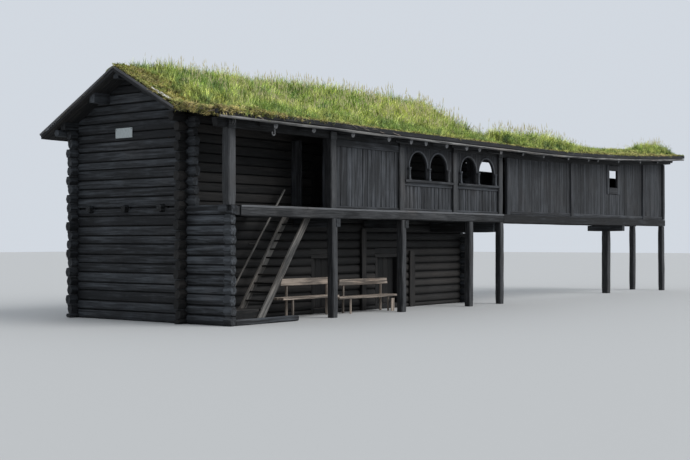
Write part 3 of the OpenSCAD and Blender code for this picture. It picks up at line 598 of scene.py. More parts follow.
def swing(i, seed):
    """A number from -1 to 1 that jumps about from one course to the next, as in the CAD model"""
    return math.sin(math.radians(i * 137.5 + seed * 61))


def head_reach(k):
    """How far the head of a log stands out past the corner"""
    return HEAD_REACH + HEAD_SWING * swing(k, 5)


def seam(k):
    """Height of the seam under course k of a gable wall"""
    return 0.0 if k <= 0 else k * COURSE + COURSE_SWING * swing(k, 1)


def half_seam(k):
    """Height of the seam under course k of a front or rear wall"""
    return 0.0 if k < 0 else (seam(k) + seam(k + 1)) / 2


def log_head(mesh, x, y, side, way, z0, z1, neck0, neck1, reach, dice, tone):
    """Neck of a log through its corner, and the six-sided head beyond it"""
    along = (X_AXIS, Y_AXIS)[way] * side
    across = (Y_AXIS, X_AXIS)[way]
    middle = Vector((x, y, (neck0 + neck1) / 2))
    timber(mesh, middle - along * (WALL + 0.03), middle + along * 0.03,
           squared(WALL * 0.84, neck1 - neck0, 0.01), across, dice, wander=0.002, tone=tone)
    middle.z = (z0 + z1) / 2
    timber(mesh, middle, middle + along * reach, six_sided(WALL * 1.02, z1 - z0), across, dice,
           step=0.08, wander=0.009, worn_end=0.9, tone=tone + 0.6, seams=0.5)


# Joists of the loft, whose ends show in two courses of the left gable with grooves between them
JOIST_COURSES = (11, 12)
JOIST_Y, JOIST_HALF, JOIST_Z = (0.85, 2.15, 3.48), 0.095, (2.705, 2.89)
GROOVES_Y = ((0.36, 0.68), (0.98, 2.03), (2.31, 3.36), (3.65, 3.95))


def build_gable(name, x, dice, material):
    """One gable wall: courses of hewn logs, heads at both corners, cut to the roof's slope"""
    mesh = new_timbers()
    middle = x + WALL / 2
    on_left = x < (LEFT + RIGHT) / 2
    rear_top = RIDGE_Z - BOARD - (BACK - RIDGE_Y) * SLOPE
    front_top = FRONT_WALL[1].z
    roof = [((0, RIDGE_Y, UNDER_BOARDS), (0, side * SLOPE, 1)) for side in (-1, 1)]
    slots = [(x - 0.1, x + WALL + 0.1, y - JOIST_HALF, y + JOIST_HALF, *JOIST_Z) for y in JOIST_Y]
    if on_left:
        joint = seam(JOIST_COURSES[1])
        slots += [(x - 0.1, x + 0.06, y0, y1, joint - 0.03, joint + 0.026) for y0, y1 in GROOVES_Y]
    holes = [((x0, FRONT + y0, z0), (x1, FRONT + y1, z1)) for x0, x1, y0, y1, z0, z1 in slots]
    k = 0
    while seam(k) < RIDGE_Z - BOARD - 0.03:
        z0, z1 = seam(k), min(seam(k + 1), RIDGE_Z)
        reach = (RIDGE_Z - BOARD - z0) / SLOPE
        y0, y1 = max(FRONT + WALL, RIDGE_Y - reach), min(BACK - WALL, RIDGE_Y + reach)
        tone = dice.uniform(-1, 1)
        timber(mesh, (middle, y0, (z0 + z1) / 2), (middle, y1, (z0 + z1) / 2), hewn(WALL, z1 - z0 + 0.008),
               X_AXIS, dice, step=0.2, tone=tone, worn_end=1, seams=1.0,
               cuts=roof if z1 > rear_top else (), holes=holes if k in JOIST_COURSES else ())
        head = (seam(k), seam(k + 1), (seam(k) + half_seam(k)) / 2, (half_seam(k) + seam(k + 1)) / 2)
        if seam(k + 1) < rear_top:
            log_head(mesh, middle, BACK, 1, 1, *head, head_reach(k), dice, tone)
        if k in (HEADLESS_LEFT if on_left else HEADLESS_RIGHT):
            timber(mesh, (middle, FRONT + 0.001, (z0 + z1) / 2), (middle, FRONT + WALL + 0.03, (z0 + z1) / 2),
                   squared(WALL * 0.84, (z1 - z0) / 2), X_AXIS, dice, tone=tone, wander=0)
        elif seam(k + 1) < front_top:
            log_head(mesh, middle, FRONT, -1, 1, *head, head_reach(k + 7), dice, tone)
        k += 1
    piece(name, mesh, material)


def course_tops(top):
    """Seams of a front or rear wall, from the ground up to a given height"""
    k, rows = -1, []
    while half_seam(k) < top - 0.03:
        rows.append((k, half_seam(k), min(half_seam(k + 1), top)))
        k += 1
    return rows


def long_course(mesh, y, spans, z0, z1, dice, shape, tone):
    # Round logs are darkened over their wide flanks and hewn logs in their narrow seams. This is painted
    # shade, which leaves a painted highlight along the middle of round logs
    band = (0.38, 0.82) if shape is rounded else (0.72, 0.84)
    for x0, x1 in spans:
        timber(mesh, (x0, y, (z0 + z1) / 2), (x1, y, (z0 + z1) / 2), shape(WALL, z1 - z0 + 0.008), Y_AXIS,
               dice, tone=tone, worn_end=1, seams=1.0, band=band)


def corner_heads(mesh, y, k, top, dice, tone, long_reach=0):
    for x, side in ((LEFT, -1), (RIGHT, 1)):
        if half_seam(k + 1) < top:
            reach = long_reach if half_seam(k + 2) >= top and long_reach else head_reach(k + 13)
            log_head(mesh, x, y, side, 0, half_seam(k), half_seam(k + 1), (half_seam(k) + seam(k + 1)) / 2,
                     (seam(k + 1) + half_seam(k + 1)) / 2, reach, dice, tone)


def tarred(name, weather):
    colours = finish()
    return wood(name, colours.tar, colours.tar_worn, weather)


# Tar in painted shade, for the parts under the gallery and the roof
def tar_in_painted_shade(name, weather=0.1):
    colours = finish()
    return wood(name, colours.painted_shade_tar, colours.painted_shade_worn, weather)


class StorehouseLogWalls(bpy.types.Operator):
    """Builds the gable walls, the rear wall and the front wall of notched logs"""
    bl_idname = "storehouse.log_walls"
    bl_label = "Log Walls"

    def execute(self, context):
        material = tarred("tarred_logs", 0.42)
        build_gable("gable_wall_left", LEFT, random.Random(11), material)
        build_gable("gable_wall_right", RIGHT - WALL, random.Random(12), material)
        self.rear_wall(material, random.Random(13))
        # The front wall's logs get tar in painted shade
        self.front_wall(tar_in_painted_shade("logs_in_painted_shade"), random.Random(14))
        return {"FINISHED"}

    def rear_wall(self, material, dice):
        """Rear wall under a bevelled top log that runs out past both gables"""
        mesh = new_timbers()
        top = half_seam(TOP_LOG)
        inner = (LEFT + WALL, RIGHT - WALL)
        y = BACK - WALL / 2
        for k, z0, z1 in course_tops(top):
            tone = dice.uniform(-1, 1)
            long_course(mesh, y, [inner], z0, z1, dice, hewn, tone)
            corner_heads(mesh, y, k, REAR_WALL[1].z, dice, tone)
        high = UNDER_BOARDS - (y - RIDGE_Y) * SLOPE + 0.06
        timber(mesh, (LEFT - LONG_HEAD, y, (top + high) / 2), (RIGHT + LONG_HEAD, y, (top + high) / 2),
               squared(WALL - 0.016, high - top, 0.02), Y_AXIS, dice, seams=0.6,
               cuts=[((0, RIDGE_Y, UNDER_BOARDS), (0, SLOPE, 1))])
        piece("rear_wall", mesh, material)

    def front_wall(self, material, dice):
        """Front wall with its doorways; the logs over the lower doors run on past them"""
        split, top = FRONT_WALL[0].z, FRONT_WALL[1].z
        frames = sorted((part_box(part) for part in loose_parts("door_frames")), key=lambda box: box[0].x)
        lower, upper, over = new_timbers(), new_timbers(), new_timbers()
        y = FRONT + WALL / 2
        rows = course_tops(top)
        for k, z0, z1 in rows:
            tone = dice.uniform(-1, 1)
            spans, start = [], LEFT + WALL
            for low, high in frames:
                if low.z - 0.05 < z0 and z1 <= high.z + 0.02 or low.z < z0 < high.z - 0.05:
                    spans.append((start, low.x))
                    start = high.x
            spans.append((start, RIGHT - WALL))
            target = lower if z1 <= split + 0.02 else upper
            shape = rounded if z1 < ROUND_BELOW else hewn
            # Tone offsets paint light and shade. The lower wall darkens upwards towards the gallery floor as
            # painted shade, and its last span to the right is lighter as painted light. The upper wall is
            # lifted out of the darkest tar
            painted_shade_under_floor = 2.6 * smooth(z0, 1.1, 1.9)
            lift = (0.8 - painted_shade_under_floor, 2.5 - painted_shade_under_floor) if target is lower else (0.7, 0.7)
            long_course(target, y, spans[:-1], z0, z1, dice, shape, tone + lift[0])
            long_course(target, y, spans[-1:], z0, z1, dice, shape, tone + lift[1])
            corner_heads(target, y, k, top, dice, tone, LONG_HEAD)
        for low, high in frames:
            z0, z1 = high.z, min(row[2] for row in rows if row[2] > high.z + 0.02)
            timber(over if low.z < 1 else upper, (low.x, y, (z0 + z1) / 2), (high.x, y, (z0 + z1) / 2),
                   squared(WALL * 0.94, z1 - z0), Y_AXIS, dice)
        piece("front_wall_lower", lower, material,
              nodes=("front_wall_lower", "front_wall_over_doors"))
        piece("front_wall_over_doors", over, material, nodes=())
        piece("front_wall_upper", upper, material)


class StorehouseGalleryLogs(bpy.types.Operator):
    """Builds the rounder log wall at the end of the gallery and the sill log beside it"""
    bl_idname = "storehouse.gallery_logs"
    bl_label = "Gallery Logs"

    def execute(self, context):
        dice = random.Random(21)
        material = tarred("gallery_logs", 0.62)
        mesh = new_timbers()
        middle = LEFT + WALL / 2
        front = FRONT - GALLERY_DEPTH
        for k in range(END_COURSES):
            z0, z1 = seam(k), seam(k + 1)
            tone = dice.uniform(-0.6, 1)
            timber(mesh, (middle, front + 0.22, (z0 + z1) / 2), (middle, FRONT - 0.002, (z0 + z1) / 2),
                   rounded(WALL, z1 - z0 + 0.006), X_AXIS, dice, step=0.16, tone=tone, worn_end=1, seams=0.9)
            timber(mesh, (middle - 0.012, front + 0.015 * swing(k, 9), (z0 + z1) / 2),
                   (middle - 0.012, front + 0.25, (z0 + z1) / 2), six_sided(WALL + 0.024, (z1 - z0) * 1.08),
                   X_AXIS, dice, step=0.06, wander=0.012, worn_end=0.86, tone=tone + 0.4, seams=0.5)
        top = seam(END_COURSES)
        squared_timber(mesh, at(-0.01, -1.47, top), at(0.21, -0.002, FLOOR_TOP), dice, ease=0.02)
        squared_timber(mesh, at(-0.075, -1.35, top + 0.04), at(-0.005, -1.1, FLOOR_TOP), dice, ease=0.02)
        piece("gallery_end_wall", mesh, material)
        mesh = new_timbers()
        low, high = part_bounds("sill_log")
        squared_timber(mesh, low, high, dice, ease=0.03, wander=0.006)
        piece("sill_log", mesh, material)
        return {"FINISHED"}


def build_squared(node, material, slot, dice, ease=0.012, **options):
    """Replaces every solid of a CAD node by a squared timber of its box"""
    mesh = new_timbers()
    for part in loose_parts(node):
        squared_timber(mesh, *part_box(part), dice, ease=ease, **options)
    piece(node, mesh, material)


# Slivers at the top of the corner post: x, z and lean
SLIVERS = ((0.03, 4.71, 0.25), (0.07, 4.74, -0.3), (0.1, 4.7, 0.5), (0.12, 4.76, 0.1))
HOOK_TOP, HOOK_FOOT, HOOK_HEART = at(1.13, -1.8, 4.8), at(1.15, -1.8, 4.55), at(1.1, -1.8, 4.56)
HOOK_RADIUS, HOOK_TURN = 0.017, math.radians(215)
PLATE_Y, REAR_PLATE_Y = -1.3, -0.09
# The stub of a broken brace: its ends, and the two planes of the break
BRACE = at(17.2, -1.35, 2.653), at(18.4, -1.35, 2.066)
BREAK_CUTS = [(at(18.12, 0, 2.17), (0.8, 0.5, -0.5)), (at(18.14, 0, 2.19), (0.9, -0.6, 0.2))]


class StorehouseFrame(bpy.types.Operator):
    """Builds posts, beams, joists, plates, purlins and rafters of hewn timber"""
    bl_idname = "storehouse.timber_frame"
    bl_label = "Timber Frame"

    def execute(self, context):
        colours = finish()
        dice = random.Random(31)
        # bleached lightens the front faces of posts, beams and, most, rafter ends as painted light. Joists,
        # plates, passage beams and purlins get tar in painted shade
        beams = wood("tarred_beams", colours.beam_dark, colours.beam_worn, 0.12, bleached=0.26)
        inner = wood("beams_in_painted_shade", colours.painted_shade_tar, colours.tar_worn, 0.3)
        ends = wood("rafter_ends", colours.beam_dark, colours.beam_worn, 0.5, bleached=0.6)
        for node in ("lower_posts", "passage_posts"):
            build_squared(node, beams, "tarred_beams", dice, ease=0.025, wander=0.012, tone=-0.1)
        for node in ("gallery_joists", "loft_joists"):
            build_squared(node, inner, "tarred_beams", dice)
        mesh = new_timbers()
        for part in loose_parts("upper_posts"):
            low, high = part_box(part)
            squared_timber(mesh, low, (high.x, high.y, PLATE_Z), dice, ease=0.02, wander=0.009,
                           tone=0.5 if low.x < LEFT + 0.5 else 0)
            squared_timber(mesh, (low.x, low.y, PLATE_Z - 0.05), (high.x, low.y + 0.058, high.z),
                           dice, wander=0.003)
        for x, z, lean in SLIVERS:
            timber(mesh, at(x, -1.462, z), at(x + lean * 0.1, -1.475, z + 0.13), squared(0.022, 0.01, 0.002),
                   X_AXIS, dice, step=0.04, wander=0.006, worn_end=0.4, tone=5)
        piece("upper_posts", mesh, beams)
        self.floor_beam(beams, dice)
        self.plates(inner, dice)
        self.passage_beams(inner, dice)
        mesh = new_timbers()
        for part in loose_parts("purlins"):
            prism_timber(mesh, part, dice, worn_end=0.95)
        # The purlins' ends that stand out past the gable are lightened: painted light
        shade = mesh.verts.layers.float["tone"]
        for vert in mesh.verts:
            if vert.co.x < LEFT - 0.15:
                vert[shade] += 1.6
        piece("purlins", mesh, inner)
        mesh = new_timbers()
        for part in loose_parts("rafters"):
            round_timber(mesh, part, dice, worn_end=0.94, wander=0.006)
        piece("rafters", mesh, ends)
        self.hook(ends, dice)
        return {"FINISHED"}

    def hook(self, material, dice):
        """A carved hook that hangs under the first rafter"""
        mesh = new_timbers()
        timber(mesh, HOOK_TOP, HOOK_FOOT, circle_outline(0.02, 8), X_AXIS, dice, step=0.05, wander=0.008,
               tone=1)
        ring = bmesh.ops.create_circle(mesh, cap_ends=True, segments=8, radius=HOOK_RADIUS)["verts"]
        bmesh.ops.translate(mesh, vec=HOOK_FOOT + 0.01 * Z_AXIS, verts=ring)
        cap = ring[0].link_faces[0]
        bmesh.ops.spin(mesh, geom=[cap, *cap.edges, *ring], cent=HOOK_HEART, axis=Y_AXIS, angle=HOOK_TURN,
                       steps=9, use_duplicate=False)
        upright_grain(mesh, 1.5)
        piece("rafter_hook", mesh, material)

    def floor_beam(self, material, dice):
        """Floor beam with its tenon beside the corner and the pale ends of the floor along its top"""
        mesh = new_timbers()
        low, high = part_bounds("floor_beam")
        squared_timber(mesh, (low.x + 0.168, low.y, low.z), high, dice, ease=0.022, wander=0.014, tone=-0.6)
        squared_timber(mesh, (low.x, low.y + 0.04, low.z + 0.03),
                       (low.x + 0.2, high.y - 0.04, high.z - 0.03), dice)
        for x in range(5):
            length = (high.x - low.x - 0.17) / 5
            squared_timber(mesh, (low.x + 0.17 + x * length, low.y - 0.014, high.z - 0.05),
                           (low.x + 0.16 + (x + 1) * length, low.y + 0.02, high.z + 0.002), dice,
                           ease=0.006, wander=0.006, tone=dice.uniform(1, 3))
        piece("floor_beam", mesh, material)

    def plates(self, material, dice):
        """Plate over the gallery posts, and two that follow the passage's roof"""
        mesh = new_timbers()
        middle, outline = PLATE_Z + PLATE_HEIGHT / 2, squared(PLATE_WIDTH, PLATE_HEIGHT, 0.014)
        timber(mesh, at(-0.44, PLATE_Y, middle), at(12.63, PLATE_Y, middle), outline, Y_AXIS, dice,
               wander=0.006, cuts=[(at(-0.39, 0, middle), (-0.21, 0, -0.06))])
        for y in (PLATE_Y, REAR_PLATE_Y):
            timber(mesh, at(12.65, y, middle), at(26.3, y, middle), outline, Y_AXIS, dice,
                   wander=0.004, bends=True)
        piece("wall_plates", mesh, material)

    def passage_beams(self, material, dice):
        """Beams and joists of the passage, and the stub of a broken brace under the front beam"""
        mesh = new_timbers()
        for part in loose_parts("passage_beams"):
            low, high = part_box(part)
            if all(min(p.z - low.z, high.z - p.z) < 0.001 for p in part):
                squared_timber(mesh, low, high, dice)
            else:
                timber(mesh, *BRACE, squared(0.1, 0.122, 0.01), Y_AXIS, dice, wander=0.005, tone=0.4,
                       cuts=[(high, Z_AXIS), *BREAK_CUTS])
        piece("passage_beams", mesh, material)


PLANK_WIDTH, PLANK_THICKNESS = 0.24, 0.06
SLEEPERS_Y = (0.4, 2.09, 3.78)


class StorehouseFloors(bpy.types.Operator):
    """Lays the floors of planks"""
    bl_idname = "storehouse.floors"
    bl_label = "Floors"

    def execute(self, context):
        colours = finish()
        dice = random.Random(41)
        material = wood("floor_planks", colours.inner_dark, colours.inner_pale, 0.5)
        for node in ("loft_floor", "passage_floor", "ground_floor"):
            mesh = new_timbers()
            low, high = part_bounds(node)
            deck = high.z - PLANK_THICKNESS
            boards(mesh, (low.x, low.y, deck), high, 1, dice, way=2, width=PLANK_WIDTH, step=1.0,
                   wander=0.003)
            for y in SLEEPERS_Y if node == "ground_floor" else ():
                squared_timber(mesh, (low.x, FRONT + y - 0.1, 0), (high.x, FRONT + y + 0.1, deck), dice)
            piece(node, mesh, material)
        mesh = new_timbers()
        low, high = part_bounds("gallery_floor")
        hole = part_box([p for p in loose_parts("gallery_floor")[0] if low.y + 0.01 < p.y < high.y - 0.01])
        for x0, x1 in cells(low.x, high.x, PLANK_WIDTH, dice):
            in_well = x1 > hole[0].x + 0.02 and x0 < hole[1].x - 0.02
            for y0, y1 in [(low.y, hole[0].y), (hole[1].y, high.y)] if in_well else [(low.y, high.y)]:
                squared_timber(mesh, (x0 + 0.003, y0, low.z), (x1 - 0.003, y1, high.z),
                               dice, ease=0.005, wander=0.003)
        piece("gallery_floor", mesh, material)
        return {"FINISHED"}


# The raised bands of the arcades are lightened as painted light, the planks behind them darkened as painted
# shade
RAISED_PAINTED_LIGHT, PLANK_PAINTED_SHADE, TURNED_TONE = 2.4, -1.1, 2.2
# A colonnette's radius by height, up from its foot and down from its top
FOOT_PROFILE = ((0.05, 0), (0.052, 0.012), (0.05, 0.024), (0.036, 0.034), (0.043, 0.048), (0.03, 0.064),
                (0.029, 0.16))
HEAD_PROFILE = ((0.026, 0.11), (0.027, 0.1), (0.036, 0.09), (0.038, 0.084), (0.03, 0.072), (0.038, 0.05),
                (0.05, 0.038), (0.052, 0.02), (0.051, 0))


class StorehouseGalleryFront(bpy.types.Operator):
    """Builds the boarded panel, the parapets, the arcades and the turned colonnettes"""
    bl_idname = "storehouse.gallery_front"
    bl_label = "Gallery Front"

    def execute(self, context):
        colours = finish()
        dice = random.Random(51)
        material = wood("tarred_boards", colours.board_dark, colours.board_worn, 0.55)
        build_squared("gallery_cross_wall", material, "tarred_boards", dice, ease=0.005)

        upright = dict(way=1, step=0.45, wander=0.004)
        mesh = new_timbers()
        low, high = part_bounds("gallery_panel")
        boards(mesh, (low.x, low.y + 0.03, low.z + 0.03), (high.x, low.y + 0.08, high.z - 0.03),
               0, dice, **upright)
        for z0, z1 in ((low.z, low.z + 0.07), (high.z - 0.19, high.z)):
            squared_timber(mesh, (low.x, low.y, z0), (high.x, high.y, z1), dice, wander=0.004)
        piece("gallery_panel", mesh, material)

        mesh = new_timbers()
        for part in loose_parts("parapets"):
            low, high = part_box(part)
            boards(mesh, (low.x, low.y + 0.12, low.z + 0.03),
                   (high.x, low.y + 0.17, high.z - 0.1), 0, dice, width=0.17, **upright)
            for y0, y1, z0, z1 in ((low.y + 0.09, low.y + 0.18, low.z, low.z + 0.07),
                                   (low.y + 0.09, low.y + 0.18, high.z - 0.17, high.z - 0.06),
                                   (low.y, high.y, high.z - 0.07, high.z)):
                squared_timber(mesh, (low.x, y0, z0), (high.x, y1, z1), dice, wander=0.004)
        piece("parapets", mesh, material)
        self.arcades(material)
        self.colonnettes(material)
        return {"FINISHED"}

    def arcades(self, material):
        """The arcade planks keep their CAD form, eased by a bevel"""
        mesh = new_timbers()
        mesh.from_mesh(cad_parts["arcades"].data)
        bmesh.ops.remove_doubles(mesh, verts=mesh.verts, dist=1e-5)
        bmesh.ops.dissolve_limit(mesh, angle_limit=0.01, verts=mesh.verts, edges=mesh.edges)
        sharp = [e for e in mesh.edges if len(e.link_faces) == 2 and e.calc_face_angle(0) > 0.6]
        front = min(vert.co.y for vert in mesh.verts) + 0.025
        bmesh.ops.bevel(mesh, geom=sharp, offset=0.004, offset_type="OFFSET", segments=2, profile=0.5,
                        affect="EDGES", material=-1, clamp_overlap=True)
        # Raised bands get painted light, the planks behind them painted shade
        upright_grain(mesh, RAISED_PAINTED_LIGHT)
        shade = mesh.verts.layers.float["tone"]
        for vert in mesh.verts:
            if vert.co.y >= front - 0.004:
                vert[shade] = PLANK_PAINTED_SHADE
        piece("arcades", mesh, material)

    def colonnettes(self, material):
        """Turned colonnettes, each profile spun about its own middle"""
        mesh = new_timbers()
        grain, shade = mesh.verts.layers.float_vector["grain"], mesh.verts.layers.float["tone"]
        for part in loose_parts("colonnettes"):
            low, high = part_box(part)
            middle = (low + high) / 2
            tall = high.z - low.z
            profile = [*FOOT_PROFILE, *((r, tall - z) for r, z in HEAD_PROFILE)]
            before = len(mesh.verts)
            verts = [mesh.verts.new((middle.x + r, middle.y, low.z + z)) for r, z in profile]
            edges = [mesh.edges.new(pair) for pair in zip(verts, verts[1:])]
            bmesh.ops.spin(mesh, geom=[*verts, *edges], cent=(middle.x, middle.y, low.z), axis=(0, 0, 1),
                           angle=math.tau, steps=24, use_merge=True, use_duplicate=False)
            mesh.verts.ensure_lookup_table()
            for vert in mesh.verts[before:]:
                vert[grain] = (vert.co.z + middle.x * 9, vert.co.x - middle.x, vert.co.y - middle.y)
                vert[shade] = TURNED_TONE
        bmesh.ops.remove_doubles(mesh, verts=mesh.verts, dist=1e-5)
        piece("colonnettes", mesh, material, angle=50)


DOOR_FRAME = 0.11


class StorehouseDoors(bpy.types.Operator):
    """Builds the door frames and the board leaves of the two lower doors and the loft door"""
    bl_idname = "storehouse.doors"
    bl_label = "Doors"

    def execute(self, context):
        dice = random.Random(61)
        # The doors get tar in painted shade
        material = tar_in_painted_shade("door_boards", 0.25)
        mesh = new_timbers()
        leaves = {"door_left": "door_left_leaf", "door_right": "door_right_leaf", "upper_door": HOUSE}
        openings = [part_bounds(node) for node in leaves]
        for part in loose_parts("door_frames"):
            low, high = part_box(part)
            hole = min(openings, key=lambda box: abs(box[0].x - low.x) + abs(box[0].z - low.z - 0.15))
            head = high.z - DOOR_FRAME
            inner = low.x + DOOR_FRAME, high.x - DOOR_FRAME
            for x0, x1, z0, z1 in ((low.x, inner[0], low.z, head), (inner[1], high.x, low.z, head),
                                   (low.x, high.x, head, high.z), (*inner, low.z, hole[0].z - 0.01)):
                squared_timber(mesh, (x0, low.y, z0), (x1, high.y, z1), dice, wander=0.003)
        piece("door_frames", mesh, material)
        for node, body in leaves.items():
            mesh = new_timbers()
            low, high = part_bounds(node)
            boards(mesh, (low.x, low.y + 0.002, low.z), (high.x, low.y + 0.03, high.z), 0,
                   dice, way=1, width=0.24, gap=0.003, wander=0.001)
            for z in (low.z + 0.22, high.z - 0.32):
                squared_timber(mesh, (low.x + 0.03, low.y + 0.03, z),
                               (high.x - 0.03, high.y, z + 0.11), dice, wander=0.001)
            piece(node, mesh, material, body=body)
        return {"FINISHED"}


# Each bench: its seat (x0, x1, top), its back board (x0, x1, z0, z1), and x of its legs and uprights
BENCHES = (((2.7, 5.0, 0.54), (2.97, 5.2, 0.83, 1.01), (3.08, 4.83), (3.22, 4.9)),
           ((5.02, 7.72, 0.47), (5.4, 7.68, 0.765, 0.93), (5.53, 7.3), (5.63, 7.39)))
SEAT_PLANKS_Y, BACK_Y = ((-0.75, -0.56), (-0.55, -0.36)), -0.4025
END_BOARD = at(7.31, -0.83, 0), at(7.47, -0.79, 0.36)
POLE_SLANT, POLE_Y, POLE_TOP = math.tan(math.radians(52.3)), -0.24, 3.33


class StorehouseStair(bpy.types.Operator):
    """Builds the stair, its pole and the block at its foot, the benches and the planks by the wall"""
    bl_idname = "storehouse.stair_and_benches"
    bl_label = "Stair and Benches"

    def execute(self, context):
        colours = finish()
        dice = random.Random(71)
        grey = wood("grey_planks", colours.beam_dark, (0.2, 0.19, 0.175), 0.6)
        pale = wood("bare_planks", colours.bare_dark, colours.bare_pale, 0.8, crack_depth=0.45)
        # Treads, the stair block and the wall planks get tar in painted shade
        dark = tar_in_painted_shade("stair_block", 0.5)
        mesh = new_timbers()
        for part in loose_parts("stair_strings"):
            low, high = part_box(part)
            foot, head = (part_box([p for p in part if abs(p.z - z) < 0.01]) for z in (low.z, high.z))
            start, end = ((box[0] + box[1]) / 2 for box in (foot, head))
            lean = (end - start).normalized()
            timber(mesh, start - lean * 0.2, end + lean * 0.2,
                   squared(high.y - low.y, (foot[1].x - foot[0].x) * lean.z, 0.006), Y_AXIS, dice,
                   wander=0.003, tone=0.8, cuts=[(low, -Z_AXIS), (high, Z_AXIS)])
        piece("stair_strings", mesh, grey)
        build_squared("stair_treads", dark, "weathered_planks", dice, ease=0.006, wander=0.003)
        build_squared("stair_block", dark, "tarred_beams", dice, ease=0.02, wander=0.006)
        build_squared("wall_planks", dark, "weathered_planks", dice, ease=0.006, wander=0.004)
        mesh = new_timbers()
        timber(mesh, at(0.65, POLE_Y, -0.1 * POLE_SLANT), at(0.75 + POLE_TOP / POLE_SLANT, POLE_Y, POLE_TOP),
               circle_outline(0.028, 10), Y_AXIS, dice, wander=0.008, tone=0.3, cuts=[((0, 0, 0), -Z_AXIS)])
        for z in (seam(5), seam(8)):
            peg = at(0.75 + z / POLE_SLANT, POLE_Y, z)
            timber(mesh, peg, peg + Y_AXIS * 0.25, circle_outline(0.014, 8), Z_AXIS, dice, wander=0.001)
        piece("stair_rail", mesh, grey)
        mesh = new_timbers()
        for bench in BENCHES:
            self.bench(mesh, *bench, dice)
        squared_timber(mesh, *END_BOARD, dice, ease=0.006, wander=0.003, tone=1)
        piece("benches", mesh, pale)
        return {"FINISHED"}

    def bench(self, mesh, seat, back, legs, uprights, dice):
        """Two seat planks, legs in front, and a back board on two uprights that reach the ground"""
        x0, x1, top = seat
        plain = dict(ease=0.006, wander=0.003)
        for y0, y1 in SEAT_PLANKS_Y:
            squared_timber(mesh, at(x0, y0, top - 0.06), at(x1, y1, top), dice, **plain)
        for x in legs:
            squared_timber(mesh, at(x, -0.73, 0), at(x + 0.05, -0.68, top - 0.05), dice, **plain)
        x0, x1, z0, z1 = back
        for x in uprights:
            squared_timber(mesh, at(x, -0.39, 0), at(x + 0.06, -0.34, z1 - 0.03), dice, **plain)
        z = (z0 + z1) / 2
        sloped_ends = [(at(x, 0, z0), (side * (z1 - z0), 0, 0.04)) for x, side in ((x0, -1), (x1, 1))]
        timber(mesh, at(x0 - 0.02, BACK_Y, z), at(x1 + 0.02, BACK_Y, z), squared(0.035, z1 - z0, 0.006),
               Y_AXIS, dice, wander=0.003, cuts=sloped_ends)


# The front window's framed block (x0, x1, z0) and the hole in it (x0, x1, z0, z1)
WINDOW = (20.31, 21.41, 3.73)
WINDOW_HOLE = (20.49, 21.18, 3.97, 4.6)
REAR_WINDOWS, REAR_WINDOW_WIDTH = (13.2, 18.05, 22.9), 1.5
STILE = 0.2
FRONT_STILES = (12.88, 17.33, 23.45, 25.4)
REAR_STILES = (12.88, 16.3, 20.9, 25.4)


class StorehousePassageWalls(bpy.types.Operator):
    """Builds the boarded walls of the passage with their rails, stiles and window"""
    bl_idname = "storehouse.passage_walls"
    bl_label = "Passage Walls"

    def execute(self, context):
        colours = finish()
        dice = random.Random(81)
        material = wood("passage_boards", colours.board_dark, colours.board_worn, 0.38)
        mesh = new_timbers()
        block = (WINDOW[0], WINDOW[1], WINDOW[2], PLATE_Z + rise(LEFT + WINDOW[0]))
        self.wall(mesh, -1.36, (-1.42, -1.3), FRONT_STILES, [block], dice)
        x0, x1, z0, z1 = WINDOW_HOLE
        for a, b, c, d in ((block[0], x0, block[2], block[3]), (x1, block[1], block[2], block[3]),
                           (x0, x1, block[2], z0), (x0, x1, z1, block[3])):
            squared_timber(mesh, at(a, -1.39, c), at(b, -1.3, d), dice, wander=0.002)
        piece("passage_front_wall", mesh, material)
        mesh = new_timbers()
        holes = [(x, x + REAR_WINDOW_WIDTH, 4.29 + 0.7 * rise(LEFT + x), PLATE_Z - 0.05 + rise(LEFT + x))
                 for x in REAR_WINDOWS]
        self.wall(mesh, -0.11, (-0.14, -0.01), REAR_STILES, holes, dice)
        for x in (12.51, 12.7):
            squared_timber(mesh, at(x, -0.14, FLOOR_TOP), at(x + 0.185, -0.112, PLATE_Z), dice,
                           wander=0.003)
        piece("passage_rear_wall", mesh, material)
        mesh = new_timbers()
        low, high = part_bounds("passage_end_wall")
        boards(mesh, low, high, 1, dice, step=0.45, wander=0.003)
        piece("passage_end_wall", mesh, material)
        return {"FINISHED"}

    def wall(self, mesh, skin, depth, stiles, holes, dice):
        """Upright boards between stiles, cut round the openings, under the bent plate"""
        def top_at(x):
            return PLATE_Z + rise(LEFT + x) - 0.002

        breaks = [stiles[0], *(x for hole in holes for x in hole[:2]), stiles[-1] + STILE]
        rows = [row for ends in zip(breaks, breaks[1:]) for row in cells(*ends, sizes().board_width, dice)]
        for x, end in rows:
            spans = [(FLOOR_TOP + 0.02, top_at(x) + 0.03)]
            for x0, x1, z0, z1 in holes:
                if end > x0 + 0.01 and x < x1 - 0.01:
                    spans = [(FLOOR_TOP + 0.02, z0 - 0.002), (z1 + 0.002, top_at(x) + 0.03)]
            for z0, z1 in spans:
                if z1 - z0 > 0.04:
                    ahead = dice.uniform(0, 0.01)
                    squared_timber(mesh, at(x - 0.005, skin + ahead, z0), at(end + 0.005, skin + 0.05, z1),
                                   dice, ease=0.01, edges=0.9, step=0.45, wander=0.004)
        for x in stiles:
            squared_timber(mesh, at(x, depth[0], FLOOR_TOP), at(x + STILE, depth[1], top_at(x)), dice,
                           wander=0.004)
        for x0, x1 in zip(stiles, stiles[1:]):
            squared_timber(mesh, at(x0 + STILE, skin - 0.03, FLOOR_TOP),
                           at(x1, skin + 0.05, FLOOR_TOP + 0.11), dice, wander=0.004)


# The plane along which the gallery's roof runs out over the gable
VERGE_CUT = [(at(-0.455, 0.08, 0), (-1, 0.25, 0))]
KERB_Y, KERB_Z = -1.901, EAVE_Z + 0.06
